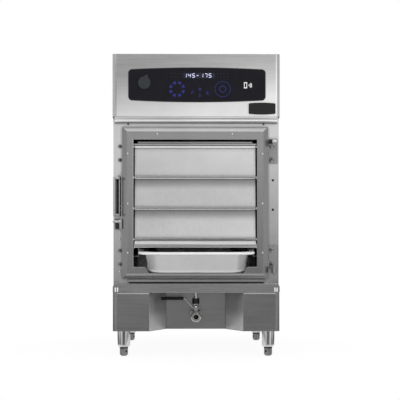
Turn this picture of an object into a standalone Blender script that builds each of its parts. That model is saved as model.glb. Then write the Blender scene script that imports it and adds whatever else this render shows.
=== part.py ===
"""Holding bin cabinet.

A narrow, free-standing stainless cabinet that keeps pans of cooked food warm and moist. One
door carries four top-hung flaps, one for each bin, and a water tank under the bins drains
through a ball valve in the front of the base. Metres, +Z up, the front faces -Y.
"""

import math

import bmesh
import bpy
from mathutils import Matrix, Vector

# Fits, in metres
GAP = 0.0003             # between pieces that touch
BITE = 0.0008            # overlap of shapes that are joined into one piece
OVERRUN = 0.003          # how far a cutter passes the face that it opens
SHEET = 0.0015           # cabinet sheet metal

# Roundness
ROUND_STEPS = 20
CORNER_STEPS = 5
BALL_RINGS = 10
BALL_STEPS = 16
PIPE_STEPS = 12
SHARP_ANGLE = math.radians(35)

# Cabinet heights, from the floor up
FOOT_HEIGHT = 0.025
LEG_TUBE = 0.048
BASE_HEIGHT = 0.111
DOOR_BELOW_HEAD = 0.0125
LIP_HEIGHT = 0.0155
LIP_SLANT = 0.0085        # how far the lip runs back as it goes down
BADGE_ABOVE_LIP = 0.0069

# Cabinet widths and depths
BASE_PROUD = 0.001
INSULATION_SIDE = 0.0525
HEAD_SIDE_PROUD = 0.0025
REAR_SPACE = 0.055
BASE_CORNER = 0.012
HEAD_CORNER = 0.013
HEAD_PROUD = 0.004       # how far the head stands in front of the door
FASCIA_RETURN = 0.060

# Recess in the front of the base
RECESS_INSET = 0.1035
RECESS_SLANT = 0.048
RECESS_DEPTH = 0.1015

# Legs and levelling feet
LEG_SIDE_INSET = 0.030
LEG_FRONT_INSET = 0.047
LEG_REAR_INSET = 0.045
LEG_RADIUS = 0.0183
FOOT_RADIUS = 0.0119
FOOT_CHAMFER = 0.004
FOOT_STEM_RADIUS = 0.005
FOOT_STEM_LENGTH = 0.034
FOOT_STEM_PLAY = 0.0008
FOOT_STEM_SPARE = 0.004

# Drip ledge, and the strip between it and the door
LEDGE_SIDE_PROUD = 0.0005
LEDGE_HEIGHT = 0.024
LEDGE_PROUD = 0.006
LEDGE_CORNER = 0.010
LEDGE_END = 0.012
LEDGE_WALL = 0.002
SILL_MARGIN = 0.009       # sill past the cavity's mouth on each side
SILL_HEIGHT = 0.0125
SILL_THICKNESS = 0.006

# Door
DOOR_SHIFT = -0.003      # the hinges push the door a little to the left
PAN_TO_STILE = 0.0138
AXIS_ABOVE_RUNNER = 0.0341
DOOR_ABOVE_LEDGE = 0.015
DOOR_THICKNESS = 0.024
DOOR_BEVEL_WIDTH = 0.014
DOOR_BEVEL_DEPTH = 0.009
STILE = 0.0322
TOP_RAIL = 0.037
BOTTOM_RAIL = 0.033
SEAL_THICKNESS = 0.004
SEAL_INSET = 0.003
SEAL_MARGIN = 0.002      # seal outside the cavity's mouth
RELIEF_MARGIN = 0.0055   # dip in the bottom rail past the pan's floor, so that its nose passes
RELIEF_DEPTH = 0.0175
RELIEF_SLANT = 0.0105
STRIP_BELOW_RAIL = 0.0113
STRIP_HEIGHT = 0.005
STRIP_DEPTH = 0.004
STRIP_THICKNESS = 0.002

# Flaps and bins
BIN_COUNT = 4
BIN_CLEARANCE = 0.028
TOP_AXIS_BELOW_RAIL = 0.0193
FLAP_AXIS_DEPTH = 0.011
FLAP_OVERLAP = 0.0015    # how far a flap hangs below the next flap's rod
FLAP_SHEET = 0.001
FLAP_LEAN = 0.006
FLAP_LIP_HEIGHT = 0.007
FLAP_LIP_REACH = 0.0035
FLAP_SIDE_GAP = 0.0039
FLAP_RETURN_DEPTH = 0.005
FLAP_RETURN_CLEAR = 0.013
FLAP_LIFT = math.radians(66.4)   # the lowest flap, as it is held up over the pan
ROD_RADIUS = 0.0025
ROD_PLAY = 0.0005
ROD_SEAT = 0.004
FLAP_CURL_OPEN = math.radians(110)

# Bin racks, which slope down to the front
RACK_SLOPE = math.radians(4.5)
PAN_BELOW_RAIL = 0.0154  # the pan's floor below the bottom rail, less its runner
RUNNER_WIDTH = 0.0135
PAN_SIDE_PLAY = 0.003
RACK_FRONT = 0.055
RACK_SHORT = 0.005        # rack shorter than the pan
RACK_BELOW = 0.020
RACK_ABOVE = 0.010

# Cavity, water tank and insulation
RACK_FLANGE = 0.019
CAVITY_SPARE = 0.045
CAVITY_BELOW_RAIL = 0.022
CAVITY_ABOVE_RAIL = 0.022
TANK_SIDE_INSET = 0.034
TANK_INSET = 0.045
TANK_HEIGHT = 0.040
TANK_MARGIN = 0.012
INSULATION_REAR = 0.028
HEATER_RADIUS = 0.004
HEATER_BEND = 0.020
HEATER_PLAY = 0.0006
WATER_HEATER_SIDE = 0.095
WATER_HEATER_HEIGHT = 0.014
WATER_HEATER_INSET = 0.050
WATER_HEATER_TAIL = 0.012
AIR_HEATER_SIDE = 0.069
AIR_HEATER_INSET = 0.135
AIR_HEATER_DROP = 0.011
PROBE_RADIUS = 0.003
PROBE_LENGTH = 0.032
PROBE_COLLAR = 0.006
PROBE_SIDE_INSET = 0.064
PROBE_DROP = 0.070

# Pan: the 1/1 steam-table size
PAN_LENGTH = 0.530
PAN_WIDTH = 0.324
PAN_DEPTH = 0.060
PAN_OUT = 0.090          # pulled out past the door's front, as photographed
PAN_SHEET = 0.0012
PAN_RIM = 0.0145
PAN_ROLL_HEIGHT = 0.005
PAN_ROLL_WIDTH = 0.002
PAN_DRAFT = 0.0085
PAN_RIM_CORNER = 0.020
PAN_WALL_CORNER = 0.045
PAN_FLOOR_RADIUS = 0.012

# Hinges
HINGE_OUT = 0.017        # hinge axis beside the door's edge
HINGE_PLATE_WIDTH = 0.026
HINGE_PLATE_THICKNESS = 0.0025
HINGE_PLATE_INSET = 0.0165
HINGE_UPPER_TOP = 0.033      # upper plate below the door's top edge
HINGE_UPPER_HEIGHT = 0.070
HINGE_LOWER_BOTTOM = 0.033   # lower plate above the door's bottom edge
HINGE_LOWER_HEIGHT = 0.0595
UPPER_LUG_INSET = 0.0037     # top of the lug below the top of the upper plate
LOWER_LUG_DROP = 0.017       # bottom of the lug below the lower plate
LUG_HEIGHT = 0.011
LUG_RADIUS = 0.0055
PIN_RADIUS = 0.003
PIN_PLAY = 0.0004
ARM_HEIGHT = 0.0065
ARM_PLAY = 0.0005
ARM_FLANGE_HEIGHT = 0.022
ARM_FLANGE_THICKNESS = 0.002
BOLT_RADIUS = 0.006
BOLT_HEAD = 0.004
BOLT_SPACING = 0.040
BOLT_SIDE_INSET = 0.0085
UPPER_BOLT_INSET = 0.0200
LOWER_BOLT_INSET = 0.0112
BOLT_SIDES = 6

# Latch
LATCH_HEIGHT = 0.166
LATCH_ABOVE_DOOR_BOTTOM = 0.137
LATCH_PLATE = 0.002
LATCH_AXIS_OUT = 0.0075
LATCH_AXIS_DEPTH = 0.0125
LATCH_LUG = 0.005
LATCH_LUG_RADIUS = 0.0045
LATCH_ROD_RADIUS = 0.0025
LATCH_PLAY = 0.0006
LATCH_SPARE = 0.0015
PULL_WIDTH = 0.007
PULL_DEPTH = 0.016
PULL_REACH = 0.0175
PULL_PROUD = 0.004
PULL_ARM = 0.005
LOWER_LUG_GAP = 0.0025
UPPER_LUG_GAP = 0.008
MAGNET_ABOVE = 0.005
MAGNET_HEIGHT = 0.027
MAGNET_REACH = 0.0175
MAGNET_FRONT = 0.004
TAB_HEIGHT = 0.0025
TAB_REACH = 0.0270
TAB_ABOVE = 0.0235
TAB_INSET = 0.003
STRIKE_MARGIN = 0.003
STRIKE_THICKNESS = 0.0015

# Control head fittings
PANEL_SIDE_MARGIN = 0.0441
PANEL_HEIGHT = 0.087
PANEL_BOW = 0.0055
PANEL_CORNER = 0.010
PANEL_THICKNESS = 0.003
PANEL_SHIFT = 0.002
PANEL_TOP_MARGIN = 0.0446
DISPLAY_WIDTH = 0.0900
DISPLAY_HEIGHT = 0.0158
DISPLAY_SHIFT = 0.0080
DISPLAY_BELOW_EDGE = 0.0173
DISPLAY_DEPTH = 0.0012
BADGE_WIDTH = 0.079
BADGE_HEIGHT = 0.0316
BADGE_BOW = 0.0025
BADGE_CORNER = 0.004
BADGE_THICKNESS = 0.002
BADGE_SIDE_INSET = 0.0522
PANEL_TO_BADGE = 0.0079
PORT_SIDE_INSET = 0.0476
PORT_ABOVE_MIDDLE = 0.005
PORT_RADIUS = 0.0150
PORT_DEPTH = 0.022
PORT_SLOT_WIDTH = 0.0135
PORT_SLOT_HEIGHT = 0.0058
PORT_SLOT_DEPTH = 0.012
CAP_RADIUS = 0.0185
CAP_THICKNESS = 0.004
CAP_TAB_SHIFT = 0.0057
CAP_TAB_WIDTH = 0.009
CAP_TAB_HEIGHT = 0.004
BOARD_SIDE_INSET = 0.0949
BOARD_HEIGHT = 0.070
BOARD_THICKNESS = 0.0016
BOARD_STANDOFF = 0.014
STANDOFF_RADIUS = 0.003
STANDOFF_INSET = 0.008
RELAY_WIDTH = 0.040
RELAY_HEIGHT = 0.022
RELAY_THICKNESS = 0.009
SUPPLY_WIDTH = 0.110
SUPPLY_LENGTH = 0.160
SUPPLY_HEIGHT = 0.050
SUPPLY_SIDE_INSET = 0.129
SUPPLY_SETBACK = 0.260
SUPPLY_FIN_HEIGHT = 0.012
SUPPLY_FIN_COUNT = 7

# Rear of the head
VENT_COUNT = 6
VENT_PITCH = 0.014
VENT_WIDTH = 0.110
VENT_SLOT = 0.005
VENT_SIDE_INSET = 0.129
VENT_BELOW_TOP = 0.055
INLET_RADIUS = 0.022
INLET_FLANGE = 0.030
INLET_PROUD = 0.012
INLET_INSIDE = 0.026
INLET_MOUTH = 0.018
INLET_MOUTH_DEPTH = 0.024
INLET_SIDE_INSET = 0.109
INLET_ABOVE_DECK = 0.075
INLET_FLANGE_THICKNESS = 0.004

# Drain, in the recess
VALVE_DEPTH = 0.050      # ball centre behind the door's front plane
VALVE_DROP = 0.0723      # ball centre below the top of the base
VALVE_LENGTH = 0.044
VALVE_END_RADIUS = 0.0129
VALVE_END_LENGTH = 0.009
VALVE_RADIUS = 0.0150
VALVE_SHOULDER = 0.002
VALVE_BORE = 0.0069
VALVE_PAD_WIDTH = 0.033
VALVE_PAD_DEPTH = 0.018
VALVE_PAD_BOTTOM = 0.007
VALVE_PAD_HEIGHT = 0.0083
NECK_RADIUS = 0.0075
NECK_TOP = 0.0235
BALL_RADIUS = 0.0102
BALL_PLAY = 0.0010
BALL_BORE = 0.0062
STEM_RADIUS = 0.0038
STEM_TOP = 0.034
STEM_PLAY = 0.0005
LEVER_THICKNESS = 0.0025
LEVER_WIDTH = 0.012
LEVER_HUB = 0.009
LEVER_HEIGHT = 0.0255    # hub above the ball's centre
LEVER_RISE = 0.0270
LEVER_KNEE = 0.0335
LEVER_TO_RECESS = 0.036  # lever's tip from the recess's edge at the front
SLEEVE_HEIGHT = 0.0086
SLEEVE_WIDTH = 0.015
SLEEVE_CORNER = 0.003
SLEEVE_END = 0.0025
TUBE_RADIUS = 0.005
TUBE_BORE = 0.0035
TUBE_PLAY = 0.0005
ELBOW_RADIUS = 0.0085
ELBOW_BORE = 0.0060
ELBOW_BEND = 0.012
ELBOW_SETBACK = 0.036
NUT_FLAT = 0.0087
NUT_HEIGHT = 0.0152
NUT_DROP = 0.0213        # nut's top below the top of the base
NUT_LIP = 0.0065
NUT_SIDES = 6

# Widths worked out from the pan outwards
RACK_SPACING = PAN_WIDTH + 2 * PAN_SIDE_PLAY
CAVITY_WIDTH = RACK_SPACING + 2 * RACK_FLANGE
BODY_WIDTH = CAVITY_WIDTH + 2 * INSULATION_SIDE
BASE_WIDTH = BODY_WIDTH + 2 * BASE_PROUD
HEAD_WIDTH = BODY_WIDTH + 2 * HEAD_SIDE_PROUD
LEDGE_WIDTH = BODY_WIDTH + 2 * LEDGE_SIDE_PROUD
SILL_WIDTH = CAVITY_WIDTH + 2 * SILL_MARGIN
DOOR_WIDTH = PAN_WIDTH + 2 * (PAN_TO_STILE + STILE)
RELIEF_WIDTH = PAN_WIDTH - 2 * (PAN_RIM + PAN_DRAFT - RELIEF_MARGIN)
TANK_WIDTH = CAVITY_WIDTH - 2 * TANK_SIDE_INSET
WATER_HEATER_WIDTH = TANK_WIDTH - 2 * WATER_HEATER_SIDE
AIR_HEATER_WIDTH = CAVITY_WIDTH - 2 * AIR_HEATER_SIDE
PROBE_SIDE = CAVITY_WIDTH / 2 - PROBE_SIDE_INSET
LEG_SPREAD = BASE_WIDTH - 2 * LEG_SIDE_INSET
RECESS_FRONT_WIDTH = BASE_WIDTH - 2 * RECESS_INSET
RECESS_BACK_WIDTH = RECESS_FRONT_WIDTH - 2 * RECESS_SLANT
LEVER_LENGTH = RECESS_FRONT_WIDTH / 2 - LEVER_TO_RECESS
HINGE_SIDE = DOOR_SHIFT + DOOR_WIDTH / 2 + HINGE_OUT
HINGE_PLATE_SIDE = BODY_WIDTH / 2 - HINGE_PLATE_INSET
PANEL_WIDTH = HEAD_WIDTH - 2 * PANEL_SIDE_MARGIN
PORT_SIDE = PANEL_WIDTH / 2 - PORT_SIDE_INSET
BOARD_WIDTH = PANEL_WIDTH - 2 * BOARD_SIDE_INSET
BADGE_SIDE = HEAD_WIDTH / 2 - BADGE_SIDE_INSET
SUPPLY_SIDE = HEAD_WIDTH / 2 - SUPPLY_SIDE_INSET
VENT_SIDE = HEAD_WIDTH / 2 - VENT_SIDE_INSET
INLET_SIDE = HEAD_WIDTH / 2 - INLET_SIDE_INSET

# Heights of the bins, the door and the head, from the pan and the panel
BIN_PITCH = PAN_DEPTH + BIN_CLEARANCE
RUNNER_HEIGHT = PAN_DEPTH - PAN_BELOW_RAIL
OPENING_HEIGHT = RUNNER_HEIGHT + AXIS_ABOVE_RUNNER + (BIN_COUNT - 1) * BIN_PITCH + TOP_AXIS_BELOW_RAIL
DOOR_HEIGHT = BOTTOM_RAIL + OPENING_HEIGHT + TOP_RAIL
BODY_HEIGHT = LEDGE_HEIGHT + DOOR_ABOVE_LEDGE + DOOR_HEIGHT + DOOR_BELOW_HEAD
PANEL_BELOW_TOP = PANEL_TOP_MARGIN + PANEL_HEIGHT / 2
BADGE_BELOW_TOP = PANEL_BELOW_TOP + PANEL_HEIGHT / 2 + PANEL_TO_BADGE + BADGE_HEIGHT / 2
DISPLAY_ABOVE_MIDDLE = PANEL_HEIGHT / 2 - DISPLAY_BELOW_EDGE
HEAD_HEIGHT = BADGE_BELOW_TOP + BADGE_HEIGHT / 2 + BADGE_ABOVE_LIP

# Lengths from front to rear, from the pan
RACK_LENGTH = PAN_LENGTH - RACK_SHORT
CAVITY_DEPTH = PAN_LENGTH + CAVITY_SPARE
BODY_DEPTH = CAVITY_DEPTH + REAR_SPACE
AIR_HEATER_LENGTH = CAVITY_DEPTH - AIR_HEATER_INSET

# Heights worked out from the pieces below
BASE_BOTTOM = FOOT_HEIGHT + LEG_TUBE
BASE_TOP = BASE_BOTTOM + BASE_HEIGHT
BODY_TOP = BASE_TOP + BODY_HEIGHT
FASCIA_BOTTOM = BODY_TOP + LIP_HEIGHT
HEAD_TOP = FASCIA_BOTTOM + HEAD_HEIGHT
LEDGE_TOP = BASE_TOP + LEDGE_HEIGHT
DOOR_BOTTOM = LEDGE_TOP + DOOR_ABOVE_LEDGE
DOOR_TOP = DOOR_BOTTOM + DOOR_HEIGHT
OPENING_BOTTOM = DOOR_BOTTOM + BOTTOM_RAIL
OPENING_TOP = DOOR_TOP - TOP_RAIL
CAVITY_BOTTOM = OPENING_BOTTOM - CAVITY_BELOW_RAIL
CAVITY_TOP = OPENING_TOP + CAVITY_ABOVE_RAIL
TANK_TOP = CAVITY_BOTTOM - SHEET - GAP
TANK_BOTTOM = TANK_TOP - TANK_HEIGHT
RUNNER_Z = OPENING_BOTTOM + RUNNER_HEIGHT
RIM_TOP = RUNNER_Z + GAP + PAN_ROLL_HEIGHT
PANEL_Z = HEAD_TOP - PANEL_BELOW_TOP

# Depths. The whole object, pan included, is centred on Y = 0
PAN_NOSE = PAN_OUT * math.cos(RACK_SLOPE) + (GAP + PAN_ROLL_HEIGHT) * math.sin(RACK_SLOPE)
REAR_REACH = DOOR_THICKNESS + SEAL_THICKNESS + BODY_DEPTH + INLET_PROUD
FRONT = (PAN_NOSE - REAR_REACH) / 2
DOOR_BACK = FRONT + DOOR_THICKNESS
BEZEL_Y = DOOR_BACK + SEAL_THICKNESS
BACK = BEZEL_Y + BODY_DEPTH
HEAD_Y = FRONT - HEAD_PROUD
FASCIA_BACK = FRONT + FASCIA_RETURN
PANEL_BACK = HEAD_Y - GAP
PANEL_FRONT = PANEL_BACK - PANEL_THICKNESS
LINER_FRONT = BEZEL_Y + SHEET + GAP
LINER_BACK = LINER_FRONT + CAVITY_DEPTH
TANK_FRONT = LINER_FRONT + TANK_INSET
TANK_BACK = LINER_BACK - TANK_INSET
FLAP_AXIS_Y = FRONT + FLAP_AXIS_DEPTH

# Sideways places
DOOR_LEFT = DOOR_SHIFT - DOOR_WIDTH / 2
DOOR_RIGHT = DOOR_SHIFT + DOOR_WIDTH / 2
OPENING_LEFT = DOOR_LEFT + STILE
OPENING_RIGHT = DOOR_RIGHT - STILE
RACK_HALF = RACK_SPACING / 2
HINGE_POINT = Vector((HINGE_SIDE, FRONT, 0))


def flap_axis_z(index):
    """Height of one flap's rod; flap 0 is the top one."""
    return OPENING_TOP - TOP_AXIS_BELOW_RAIL - index * BIN_PITCH


# Finishes


def linear(channel):
    """Linear value of one sRGB channel."""
    if channel <= 0.04045:
        return channel / 12.92
    return ((channel + 0.055) / 1.055) ** 2.4


def finish(name, colour, roughness, metallic=0.0):
    """A plain material from an sRGB hex colour."""
    channels = [int(colour[start:start + 2], 16) / 255 for start in (0, 2, 4)]
    material = bpy.data.materials.new(name)
    material.use_nodes = True
    shader = material.node_tree.nodes["Principled BSDF"]
    shader.inputs["Base Color"].default_value = [linear(value) for value in channels] + [1.0]
    shader.inputs["Roughness"].default_value = roughness
    shader.inputs["Metallic"].default_value = metallic
    material.diffuse_color = shader.inputs["Base Color"].default_value
    return material


# Outlines and meshes


def offset_path(path, distance, closed):
    """Points moved to the left of the path by a distance, with mitred corners."""
    moved = []
    count = len(path)
    for index in range(count):
        here = Vector(path[index])
        before = Vector(path[index - 1]) if closed or index > 0 else None
        after = Vector(path[(index + 1) % count]) if closed or index < count - 1 else None
        sides = []
        if before is not None:
            sides.append((here - before).normalized())
        if after is not None:
            sides.append((after - here).normalized())
        normals = [Vector((-side.y, side.x)) for side in sides]
        total = sum(normals, Vector((0, 0)))
        mitre = total / total.length
        moved.append(tuple(here + mitre * (distance / mitre.dot(normals[0]))))
    return moved


def inset(outline, distance):
    """A closed outline drawn in by a distance on every side."""
    area = sum(a[0] * b[1] - b[0] * a[1] for a, b in zip(outline, outline[1:] + outline[:1]))
    return offset_path(outline, math.copysign(distance, area), True)


def ribbon(path, thickness):
    """Outline of a bent sheet whose middle follows the path."""
    left = offset_path(path, thickness / 2, False)
    right = offset_path(path, -thickness / 2, False)
    return left + right[::-1]


def arc(centre, radius, start, end, steps):
    """Points of an arc, both ends included, angles in radians."""
    points = []
    for step in range(steps + 1):
        angle = start + (end - start) * step / steps
        points.append((centre[0] + radius * math.cos(angle), centre[1] + radius * math.sin(angle)))
    return points


def circle(centre, radius, steps=ROUND_STEPS, turn=0.0):
    """Points round a circle."""
    return arc(centre, radius, turn, turn + math.tau * (steps - 1) / steps, steps - 1)


def rounded(left, right, low, high, radius, steps=CORNER_STEPS):
    """A rectangle with round corners, anticlockwise from its lower left corner."""
    corners = ((left + radius, low + radius, math.pi), (right - radius, low + radius, 1.5 * math.pi),
               (right - radius, high - radius, 0), (left + radius, high - radius, math.pi / 2))
    points = []
    for across, up, start in corners:
        points += arc((across, up), radius, start, start + math.pi / 2, steps)
    return points


def bowed(width, height, bow, radius):
    """A rectangle with round corners, its long edges bowed out, about its own middle."""
    half = width / 2
    points = rounded(-half, half, -height / 2, height / 2, radius)
    ends = half - radius
    edge = [(-ends + 2 * ends * step / (2 * ROUND_STEPS), 0) for step in range(1, 2 * ROUND_STEPS)]
    quarter = CORNER_STEPS + 1
    lower = [(across, -height / 2) for across, _ in edge]
    upper = [(across, height / 2) for across, _ in edge[::-1]]
    points = points[:quarter] + lower + points[quarter:3 * quarter] + upper + points[3 * quarter:]
    return [(u, v + math.copysign(bow, v) * (1 - (u / half) ** 2)) for u, v in points]


def shifted(outline, across, up):
    """An outline moved in its own plane."""
    return [(u + across, v + up) for u, v in outline]


def lay(outline, axis, along):
    """Points in space of an outline that faces one axis."""
    if axis == "X":
        return [(along, u, v) for u, v in outline]
    if axis == "Y":
        return [(u, along, v) for u, v in outline]
    return [(u, v, along) for u, v in outline]


def loft(loops, ring=False):
    """A closed skin over loops of equal count, capped at both ends or joined into a ring."""
    shape = bmesh.new()
    rows = [[shape.verts.new(point) for point in loop] for loop in loops]
    pairs = list(zip(rows, rows[1:]))
    if ring:
        pairs.append((rows[-1], rows[0]))
    else:
        shape.faces.new(rows[0])
        shape.faces.new(rows[-1])
    for low, high in pairs:
        for index, first in enumerate(low):
            after = (index + 1) % len(low)
            shape.faces.new((first, low[after], high[after], high[index]))
    bmesh.ops.recalc_face_normals(shape, faces=shape.faces)
    return shape


def prism(outline, axis, start, end):
    """An outline drawn out along an axis."""
    return loft([lay(outline, axis, start), lay(outline, axis, end)])


def box(low, high):
    """A block between two corners."""
    outline = [(low[0], low[1]), (high[0], low[1]), (high[0], high[1]), (low[0], high[1])]
    return prism(outline, "Z", low[2], high[2])


def turned(profile, axis, centre, ring=False, steps=ROUND_STEPS):
    """A round shape from (radius, distance along the axis) points."""
    loops = []
    for radius, along in profile:
        loops.append(lay(circle(centre, radius, steps), axis, along))
    return loft(loops, ring)


def rod(radius, axis, start, end, centre):
    """A plain round bar along an axis, also the cutter for a round hole."""
    return turned([(radius, start), (radius, end)], axis, centre)


def hollow_prism(outer, inner, axis, start, end):
    """A wall between two outlines of equal count."""
    loops = [lay(outer, axis, start), lay(outer, axis, end), lay(inner, axis, end), lay(inner, axis, start)]
    return loft(loops, True)


def rectangle(left, right, low, high):
    """The four corners of a rectangle."""
    return [(left, low), (right, low), (right, high), (left, high)]


def open_box(low, high, inner_low, inner_high, side):
    """A box with a hollow that opens through one side: its front, -Y, or its top, +Z."""
    shape = box(low, high)
    if side == "front":
        hollow = box((inner_low[0], low[1] - OVERRUN, inner_low[2]), inner_high)
    else:
        hollow = box(inner_low, (inner_high[0], inner_high[1], high[2] + OVERRUN))
    return shape, hollow


def bent(points, radius, steps=CORNER_STEPS):
    """A planar route with each inner corner rounded, as 3D points."""
    route = [Vector(points[0])]
    for before, here, after in zip(points, points[1:], points[2:]):
        here = Vector(here)
        back = (Vector(before) - here).normalized()
        ahead = (Vector(after) - here).normalized()
        half = back.angle(ahead) / 2
        reach = radius / math.tan(half)
        middle = here + (back + ahead).normalized() * (radius / math.sin(half))
        start = (here + back * reach - middle).normalized()
        end = (here + ahead * reach - middle).normalized()
        for step in range(steps + 1):
            route.append(middle + start.slerp(end, step / steps) * radius)
    route.append(Vector(points[-1]))
    return route


def pipe(route, radius, normal, bore=0.0, steps=PIPE_STEPS):
    """A round rod or tube along a planar route; normal is square to the route's plane."""
    normal = Vector(normal)
    outer = []
    inner = []
    for index, point in enumerate(route):
        before = route[max(index - 1, 0)]
        after = route[min(index + 1, len(route) - 1)]
        ahead = (after - before).normalized()
        side = normal.cross(ahead)
        for size, loops in ((radius, outer), (bore, inner)):
            loop = []
            for step in range(steps):
                angle = math.tau * step / steps
                loop.append(point + normal * (size * math.cos(angle)) + side * (size * math.sin(angle)))
            loops.append(loop)
    if bore:
        return loft(outer + inner[::-1], True)
    return loft(outer)


def several(shapes):
    """Shapes that don't touch, gathered into one mesh for a cutter."""
    whole = bmesh.new()
    for shape in shapes:
        mesh = bpy.data.meshes.new("part_of_cutter")
        shape.to_mesh(mesh)
        shape.free()
        whole.from_mesh(mesh)
        bpy.data.meshes.remove(mesh)
    return whole


# Objects


def add_object(name, shape, origin):
    """An object from a mesh given in place, with its own origin where it is asked for."""
    mesh = bpy.data.meshes.new(name)
    shape.transform(Matrix.Translation(-Vector(origin)))
    shape.to_mesh(mesh)
    shape.free()
    made = bpy.data.objects.new(name, mesh)
    bpy.context.scene.collection.objects.link(made)
    return made


def add_node(name, shape, material, origin=(0, 0, 0), parent=None, smooth=False):
    """One piece of the cabinet. A parent is an unturned frame or joint in the same space."""
    made = add_object(name, shape, origin)
    made.location = origin
    if parent:
        made.parent = parent
        made.location = Vector(origin) - parent.location
    made.data.materials.append(material)
    if smooth:
        made.data.shade_smooth()
        made.data.set_sharp_from_angle(angle=SHARP_ANGLE)
    return made


def add_joint(name, place, turn=0.0):
    """An empty that marks a joint's axis or a tilted frame."""
    made = bpy.data.objects.new(name, None)
    bpy.context.scene.collection.objects.link(made)
    made.location = place
    made.rotation_euler.x = turn
    return made


def combine(target, shape, operation):
    """Join a shape to a piece or cut it away. The shape is given in place, before any turn."""
    origin = target.location.copy()
    if target.parent:
        origin += target.parent.location
    tool = add_object(f"{target.name}_{operation.lower()}", shape, origin)
    tool.parent = target
    tool.hide_render = True
    tool.display_type = "WIRE"
    modifier = target.modifiers.new(tool.name, "BOOLEAN")
    modifier.operation = operation
    modifier.object = tool
    return target


def cut(target, shape):
    """Take a shape out of a piece."""
    return combine(target, shape, "DIFFERENCE")


def join(target, shape):
    """Add a shape to a piece."""
    return combine(target, shape, "UNION")


# Base, legs and feet


def front_rounded(width, radius, front, back):
    """A plan outline with round front corners, clockwise from the rear left."""
    half = width / 2
    left = arc((-half + radius, front + radius), radius, math.pi, 1.5 * math.pi, CORNER_STEPS)
    right = arc((half - radius, front + radius), radius, 1.5 * math.pi, 2 * math.pi, CORNER_STEPS)
    return [(-half, back)] + left, right + [(half, back)]


def make_base(steel, dark_steel):
    """Skirt with its recess, the floor that the legs carry, and the deck under the body."""
    left, right = front_rounded(BASE_WIDTH, BASE_CORNER, FRONT, BACK)
    wide, narrow = RECESS_FRONT_WIDTH / 2, RECESS_BACK_WIDTH / 2
    recess_back = FRONT + RECESS_DEPTH
    recess = [(-wide, FRONT), (-narrow, recess_back), (narrow, recess_back), (wide, FRONT)]
    outline = left + recess + right
    skirt_top = BASE_TOP - SHEET - GAP
    skirt = hollow_prism(outline, inset(outline, SHEET), "Z", BASE_BOTTOM, skirt_top)
    add_node("base_skirt", skirt, steel)
    plate = prism(inset(outline, SHEET + GAP), "Z", BASE_BOTTOM, BASE_BOTTOM + SHEET)
    add_node("base_floor", plate, dark_steel)
    deck = add_node("base_deck", prism(left + right, "Z", BASE_TOP - SHEET, BASE_TOP), dark_steel)
    radius, centre = TUBE_RADIUS + TUBE_PLAY, (0, drain_y())
    cut(deck, rod(radius, "Z", BASE_TOP - SHEET - OVERRUN, BASE_TOP + OVERRUN, centre))


def make_feet(steel, dark_steel):
    """Four leg tubes, each with a foot whose threaded stem runs up inside it."""
    rows = {"front": FRONT + LEG_FRONT_INSET, "rear": BACK - LEG_REAR_INSET}
    columns = {"left": -LEG_SPREAD / 2, "right": LEG_SPREAD / 2}
    bore = FOOT_STEM_RADIUS + FOOT_STEM_PLAY
    stem_top = FOOT_HEIGHT + FOOT_STEM_LENGTH
    for row, along in rows.items():
        for column, across in columns.items():
            place = (across, along)
            tube = [(bore, stem_top + FOOT_STEM_SPARE), (bore, FOOT_HEIGHT + GAP),
                    (LEG_RADIUS, FOOT_HEIGHT + GAP), (LEG_RADIUS, BASE_BOTTOM - GAP)]
            add_node(f"leg_{row}_{column}", turned(tube, "Z", place), steel, smooth=True)
            foot = [(FOOT_RADIUS - FOOT_CHAMFER, 0), (FOOT_RADIUS, FOOT_CHAMFER), (FOOT_RADIUS, FOOT_HEIGHT),
                    (FOOT_STEM_RADIUS, FOOT_HEIGHT), (FOOT_STEM_RADIUS, stem_top)]
            add_node(f"foot_{row}_{column}", turned(foot, "Z", place), dark_steel,
                     origin=(across, along, 0), smooth=True)


# Body


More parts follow.
